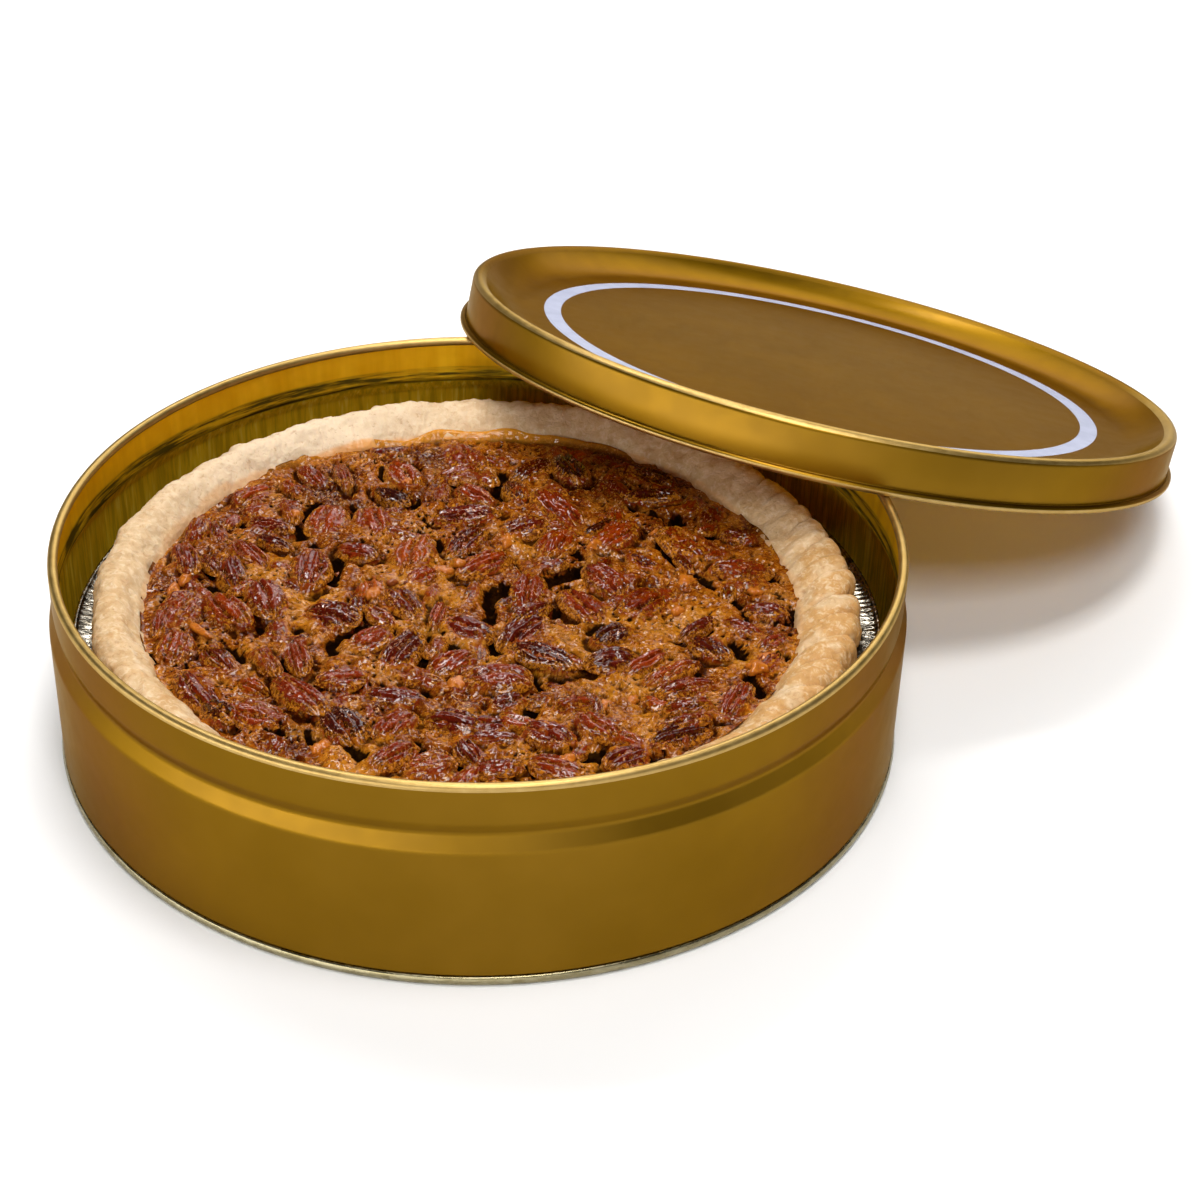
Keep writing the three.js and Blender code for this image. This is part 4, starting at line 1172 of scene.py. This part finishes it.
def build_custard(halves):
    """The filling's core: its skin over the halves, and plain sides and underside in the shell."""
    gx, gy, quads, border = disc_grid(CORE_GRID)
    turn = np.arctan2(gy, gx)
    share = np.hypot(gx, gy)
    inward = 1 - share
    circle = around(turn)
    # The skin's edge wanders, and at the back it has boiled over onto the crust.
    back = lobe(turn, 90, 32)
    wander = 0.5 + 0.6 * fbm(circle, 0.12, 2, 85) + back * (0.9 + 0.9 * noise(circle, 0.12, 86))
    limit = FILLING_RADIUS + edge_bulge(turn) * smoothstep(0.5, 1.0, share)
    limit += wander * smoothstep(0.93, 1.0, share)
    x, y = gx * limit, gy * limit
    points = stack(x, y)
    warped = stack(x + 3.0 * noise(points, 8, 91), y + 3.0 * noise(points, 8, 92))
    ridges = 1 - np.abs(noise(warped, 6.0, 93)) * 1.6
    puckers = 1 - np.abs(noise(warped, 2.6, 94)) * 1.6
    flat = smoothstep(0.0, 0.04, inward)  # no relief at the very edge
    level = FILLING_Z + 0.45 + swell(x, y) + (0.95 * (ridges - 0.4) + 0.5 * (puckers - 0.4)) * flat
    level += 0.45 * fbm(points, 3.2, 3, 95) * flat
    # The skin lies over each half, thicker over a coated one, and has torn along some of them.
    height = level.copy()
    film = np.full(len(x), 9.0)  # how thick the skin is over a nut
    patch = fbm(points, 2.9, 3, 97)
    beside = np.zeros(len(x))
    for half in halves:
        reach = half.length / 2 + 5
        near = np.nonzero((np.abs(x - half.x) < reach) & (np.abs(y - half.y) < reach))[0]
        near = near[np.hypot(*half.local(x[near], y[near])) < 1.7]
        u, v = half.local(x[near], y[near])
        r = np.hypot(u, v)
        cover = -0.4 - 1.35 * half.bare + patch[near] + 1.25 * smoothstep(0.62, 1.0, r)
        height[near] = smooth_max(half.hull(u, v) + cover, height[near], 1.1)
        beside[near] = np.maximum(beside[near], peak(r - 1.14, 0.14) * half.bare)
        over = np.where(r < 0.98, height[near] - half.top(u, v)[0], 9.0)
        film[near] = np.minimum(film[near], over)
    height = level + (height - level) * smoothstep(0.004, 0.035, inward)
    crack = crack_field(x + FILLING_CENTRE[0], y + FILLING_CENTRE[1])
    height -= CRACK_DEPTH * smeared(crack, 2) * smoothstep(0.0, 0.03, inward)
    gash = smeared(beside * smoothstep(-0.1, 0.4, noise(points, 7.0, 98)), 1) * flat
    height -= GASH_DEPTH * gash
    # Burst bubbles: shallow pits in patches, and honeycombs of them.
    gap, own = pits(x, y, 2.2, 101)
    froth = smoothstep(-0.2, 0.5, fbm(points, 14, 2, 103))
    size = 0.12 + 0.16 * own
    pit = smoothstep(size + 0.08, size - 0.05, gap) * (own > 0.5) * froth * smoothstep(0.02, 0.05, inward)
    corner = sum(most * peak(x - cx, wide) * peak(y - cy, long) for cx, cy, wide, long, most in HONEYCOMBS)
    gap, own = pits(x, y, 2.3, 105)
    comb = smoothstep(0.42, 0.3, gap) * np.clip(corner * 1.5, 0, 1) * (own > 0.4)
    height -= (PIT_DEPTH * pit + COMB_DEPTH * comb) * smoothstep(0.01, 0.03, inward)
    height += 0.24 * fbm(points, 2.2, 2, 107, 0.35) * flat
    # Along the crust the skin is a thin film that follows its slope, and its last ring is tucked under.
    slope_z = np.interp(np.hypot(x, y) - edge_bulge(turn), *np.transpose(RIM_SECTION[:-5:-1]))
    near_crust = smoothstep(0.03, 0.012, inward) * np.clip(1.6 * back, 0, 1)
    follow = slope_z + 0.6 + 0.3 * noise(points, 4, 88)
    height = np.where(inward < 0.05, height + (smooth_max(follow, height, 0.8) - height) * near_crust, height)
    height = np.where(share > 0.995, slope_z - TUCK, height)
    # Painted shade: each place is darkened by how far it lies below the mean of the square around it.
    hollow = np.clip((smeared(height, 3) - height) / 1.3, 0, 1) * flat
    # The sides and the underside.
    verts, loops = [stack(x, y, height)], [border]
    for radius, z in ((FILLING_RADIUS - 3.0, FILLING_Z - 3.6), (FILLING_FOOT_RADIUS, FILLING_FOOT_Z)):
        scale = radius / np.hypot(x[border], y[border])
        loops.append(sum(map(len, verts)) + np.arange(len(border)))
        verts.append(stack(x[border] * scale, y[border] * scale, z))
    verts = np.vstack(verts + [[[0.0, 0.0, FILLING_FOOT_Z]]])
    sides = np.concatenate([band(lower, upper) for upper, lower in zip(loops, loops[1:])])
    below = (0, len(verts) - len(x))
    attributes = {
        "film": np.pad(np.clip(film / 1.4, 0, 1), below, constant_values=1.0),
        # Painted shade for cracks, pits, honeycombs and the gashes beside the halves.
        "crack": np.pad(np.clip(crack + 0.75 * pit + 0.95 * comb + 0.6 * gash, 0, 1), below),
        # Toward the back the tone falls: painted shadow of the leaning lid.
        "tone": np.pad(0.55 + 0.6 * fbm(points, 17, 3, 109) - 0.45 * smoothstep(15, 80, y), below),
        "hollow": np.pad(hollow, below),
        "edge": np.pad(smoothstep(0.035, 0.004, inward) * 0.9 * back, below),
    }
    verts[:, :2] += FILLING_CENTRE
    faces = [quads, sides, fan(loops[-1], len(verts) - 1)]
    piece = make_piece("custard_core", verts, faces, [CUSTARD], attributes=attributes)
    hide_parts("pecan_filling")
    return piece, (x, y, height)


# ---- Chips -------------------------------------------------------------------------------------------
# Bright chips that stand out: x, y, heading, length, width.
NAMED_CHIPS = [
    (-12.5, 11, 20, 7, 6), (-7.5, 10, 0, 4, 4), (-96, 1, 80, 9, 4), (-86, -25, -48, 12, 3),
    (58, 43, 60, 6, 4), (57, 34, 50, 7, 4), (36, 23, 40, 7, 4), (86, -3, 20, 6, 5), (85, -39, 30, 8, 6),
    (82, -46, 20, 7, 6), (17, -75, 30, 5, 4), (23, -91, 60, 6, 5), (-93, 4, 60, 6, 4), (61, -13, 60, 7, 4),
    (-25, 66, 40, 6, 5), (23, 22, 70, 7, 4), (-8, -53, 60, 7, 6), (65, 3, 50, 7, 6), (8, 28, 80, 8, 5),
    (-62, 42, 70, 6, 4), (-34, -6, 90, 7, 5), (44, -60, 50, 6, 4), (-46, -83, 50, 7, 5), (36, -62, 60, 6, 4),
]
NAMED_CHIP_TONE = 0.15
CHIPS = 150
CHIP_REACH = 99


def build_chips(surface):
    """Broken bits of nut: small angular lumps, half sunk in the skin."""
    sx, sy, sz = surface
    rng = np.random.default_rng(11)
    cx, cy = FILLING_CENTRE
    rows = [(x - cx, y - cy, *size, NAMED_CHIP_TONE) for x, y, *size in NAMED_CHIPS]
    while len(rows) < CHIPS:
        x, y = scatter(rng, CHIP_REACH)
        length = rng.uniform(1.4, 3.6)
        heading, width = rng.uniform(0, 180), length * rng.uniform(0.5, 0.9)
        rows.append((x, y, heading, length, width, rng.uniform(0.35, 1.0)))
    gx, gy, quads, border = disc_grid(CHIP_GRID)
    dome = np.sqrt(np.clip(1 - np.hypot(gx, gy) ** 2, 0, 1))
    heap = Heap()
    for i, (x, y, heading, length, width, tone) in enumerate(rows):
        ground = sz[np.argmin((sx - x) ** 2 + (sy - y) ** 2)]
        lump = 1 + 0.4 * fbm(stack(gx * 1.4, gy * 1.4, i * 5.0), 1.1, 3, 111)
        height = min(0.42 * width, 1.7) * dome * lump
        u, v = gx * lump * length / 2, gy * lump * width / 2
        across = placed(u, v, x, y, math.radians(heading))
        top = stack(*across, ground - 0.7 + height)
        heap.add(top, [x, y, ground - 1.6], quads, border, tone=(tone, tone))
    piece = heap.piece("pecan_chips", NUT_MEAT)
    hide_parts("pecan_filling")
    return piece


# ---- The object --------------------------------------------------------------------------------------
GOLD_OUTSIDE = gold_outside()
GOLD_INSIDE = gold_inside("gold_bright", grooved=True)
LID_INSIDE = gold_inside("gold_lid_inside", grooved=False)
GOLD_RIM = gold_rim()
SEAM_METAL = seam_metal()
WHITE_INK = white_ink()
FOIL_METAL = foil_metal()
PASTRY = pastry()
CUSTARD = custard()
NUT_SKIN = nut_skin()
NUT_MEAT = nut_meat()

halves = lay_halves()
custard_piece, custard_surface = build_custard(halves)
pieces = [
    build_tin_wall(),
    build_tin_base(),
    build_lid(),
    build_foil_pan(),
    build_crust(),
    custard_piece,
    build_pecans(halves),
    build_chips(custard_surface),
]
for piece in pieces:
    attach(piece, "root")

# ---- Camera ------------------------------------------------------------------------------------------
CAMERA_PLACE = (0.0, -0.5881940, 0.4239903)
CAMERA_RIGHT = (0.99859499, -0.04482708, 0.02825903)
CAMERA_UP = (0.00082428, 0.54635607, 0.83755260)
CAMERA_BACK = (-0.05298453, -0.83635254, 0.54562539)
CAMERA_LENS = 66.551

camera = bpy.data.objects.new("camera", bpy.data.cameras.new("camera"))
camera.data.lens = CAMERA_LENS
camera.data.sensor_width = 36.0
camera.data.clip_start = 0.01
camera.data.clip_end = 20.0
camera_axes = Matrix([CAMERA_RIGHT, CAMERA_UP, CAMERA_BACK]).transposed().to_4x4()
camera.matrix_world = Matrix.Translation(CAMERA_PLACE) @ camera_axes
bpy.context.scene.collection.objects.link(camera)
bpy.context.scene.camera = camera

# ---- Floor and light ---------------------------------------------------------------------------------
bpy.context.scene.view_settings.view_transform = "Standard"
bpy.context.scene.view_settings.look = "None"

FLOOR_SIDE = 3000.0  # mm, from its middle
WHITE = (1.0, 1.0, 1.0)
# Name, place and target in metres, width, height, watts, colour, spread in degrees.
LIGHTS = [
    ("key", (0.12, -0.15, 1.36), (0.0, 0.0, 0.04), 0.42, 0.34, 9.0, (1.0, 0.985, 0.96), 180),
    ("back_bar", (-0.18, 0.68, 1.21), (0.0, 0.0, 0.04), 0.9, 0.14, 8.0, WHITE, 180),
    ("front_soft", (0.1, -0.95, 1.25), (0.0, 0.02, 0.03), 0.6, 0.45, 9.8, WHITE, 180),
    ("overhead", (0.05, 0.2, 1.7), (0.05, 0.05, 0.0), 1.5, 1.5, 1.0, WHITE, 180),
    ("back_strip", (0.5, 1.2, 0.74), (0.12, 0.15, 0.09), 1.3, 0.8, 8.8, WHITE, 180),
    ("left_panel", (-1.15, -0.85, 0.16), (0.1, 0.1, 0.07), 2.6, 0.28, 4.0, WHITE, 120),
]
BRIGHT_HEADING = math.radians(-132)  # where the studio's wall is brightest
WALL_STRENGTH = 2.6
HORIZON_STRENGTH = 0.55
OVERHEAD_STRENGTH = 0.07


def build_floor():
    look = Look("pale_floor", Roughness=0.9, Specular_IOR_Level=0.1)
    look.use(Base_Color=look.ramp(look.noise(400), (0.3, 0.93, 0.93, 0.93), (0.7, 0.95, 0.95, 0.95)))
    corners = [(-FLOOR_SIDE, -FLOOR_SIDE, 0), (FLOOR_SIDE, -FLOOR_SIDE, 0)]
    corners += [(FLOOR_SIDE, FLOOR_SIDE, 0), (-FLOOR_SIDE, FLOOR_SIDE, 0)]
    make_piece("floor", corners, [[(0, 1, 2, 3)]], [look.material])


def build_lights():
    for name, place, target, width, height, watts, colour, spread in LIGHTS:
        light = bpy.data.lights.new(name, "AREA")
        light.shape = "RECTANGLE"
        light.size, light.size_y = width, height
        light.energy = watts
        light.color = colour
        light.spread = math.radians(spread)
        holder = bpy.data.objects.new(name, light)
        holder.location = place
        holder.rotation_euler = (Vector(target) - Vector(place)).to_track_quat("-Z", "Y").to_euler()
        bpy.context.scene.collection.objects.link(holder)


def build_world():
    """A studio that is bright near the horizon, most of all at the front left, and dim overhead."""
    world = bpy.data.worlds.new("studio")
    world.use_nodes = True
    studio = Nodes(world.node_tree, "Generated")
    height = studio.height()
    toward = studio.new("VectorMath", operation="DOT_PRODUCT")
    toward.inputs[1].default_value = (math.cos(BRIGHT_HEADING), math.sin(BRIGHT_HEADING), 0.0)
    studio.feed(toward.inputs[0], studio.place)
    bright = studio.span(toward.outputs["Value"], 0.1, 0.9, 0.0, WALL_STRENGTH)
    wall = studio.product(bright, studio.span(height, 0.06, 0.38, 1.0, 0.0))
    sky = studio.span(height, 0.0, 0.32, HORIZON_STRENGTH, OVERHEAD_STRENGTH)
    strength = studio.total(sky, wall)
    studio.fill(world.node_tree.nodes["Background"], 0, Strength=strength, Color=WHITE)
    bpy.context.scene.world = world


build_floor()
build_lights()
build_world()
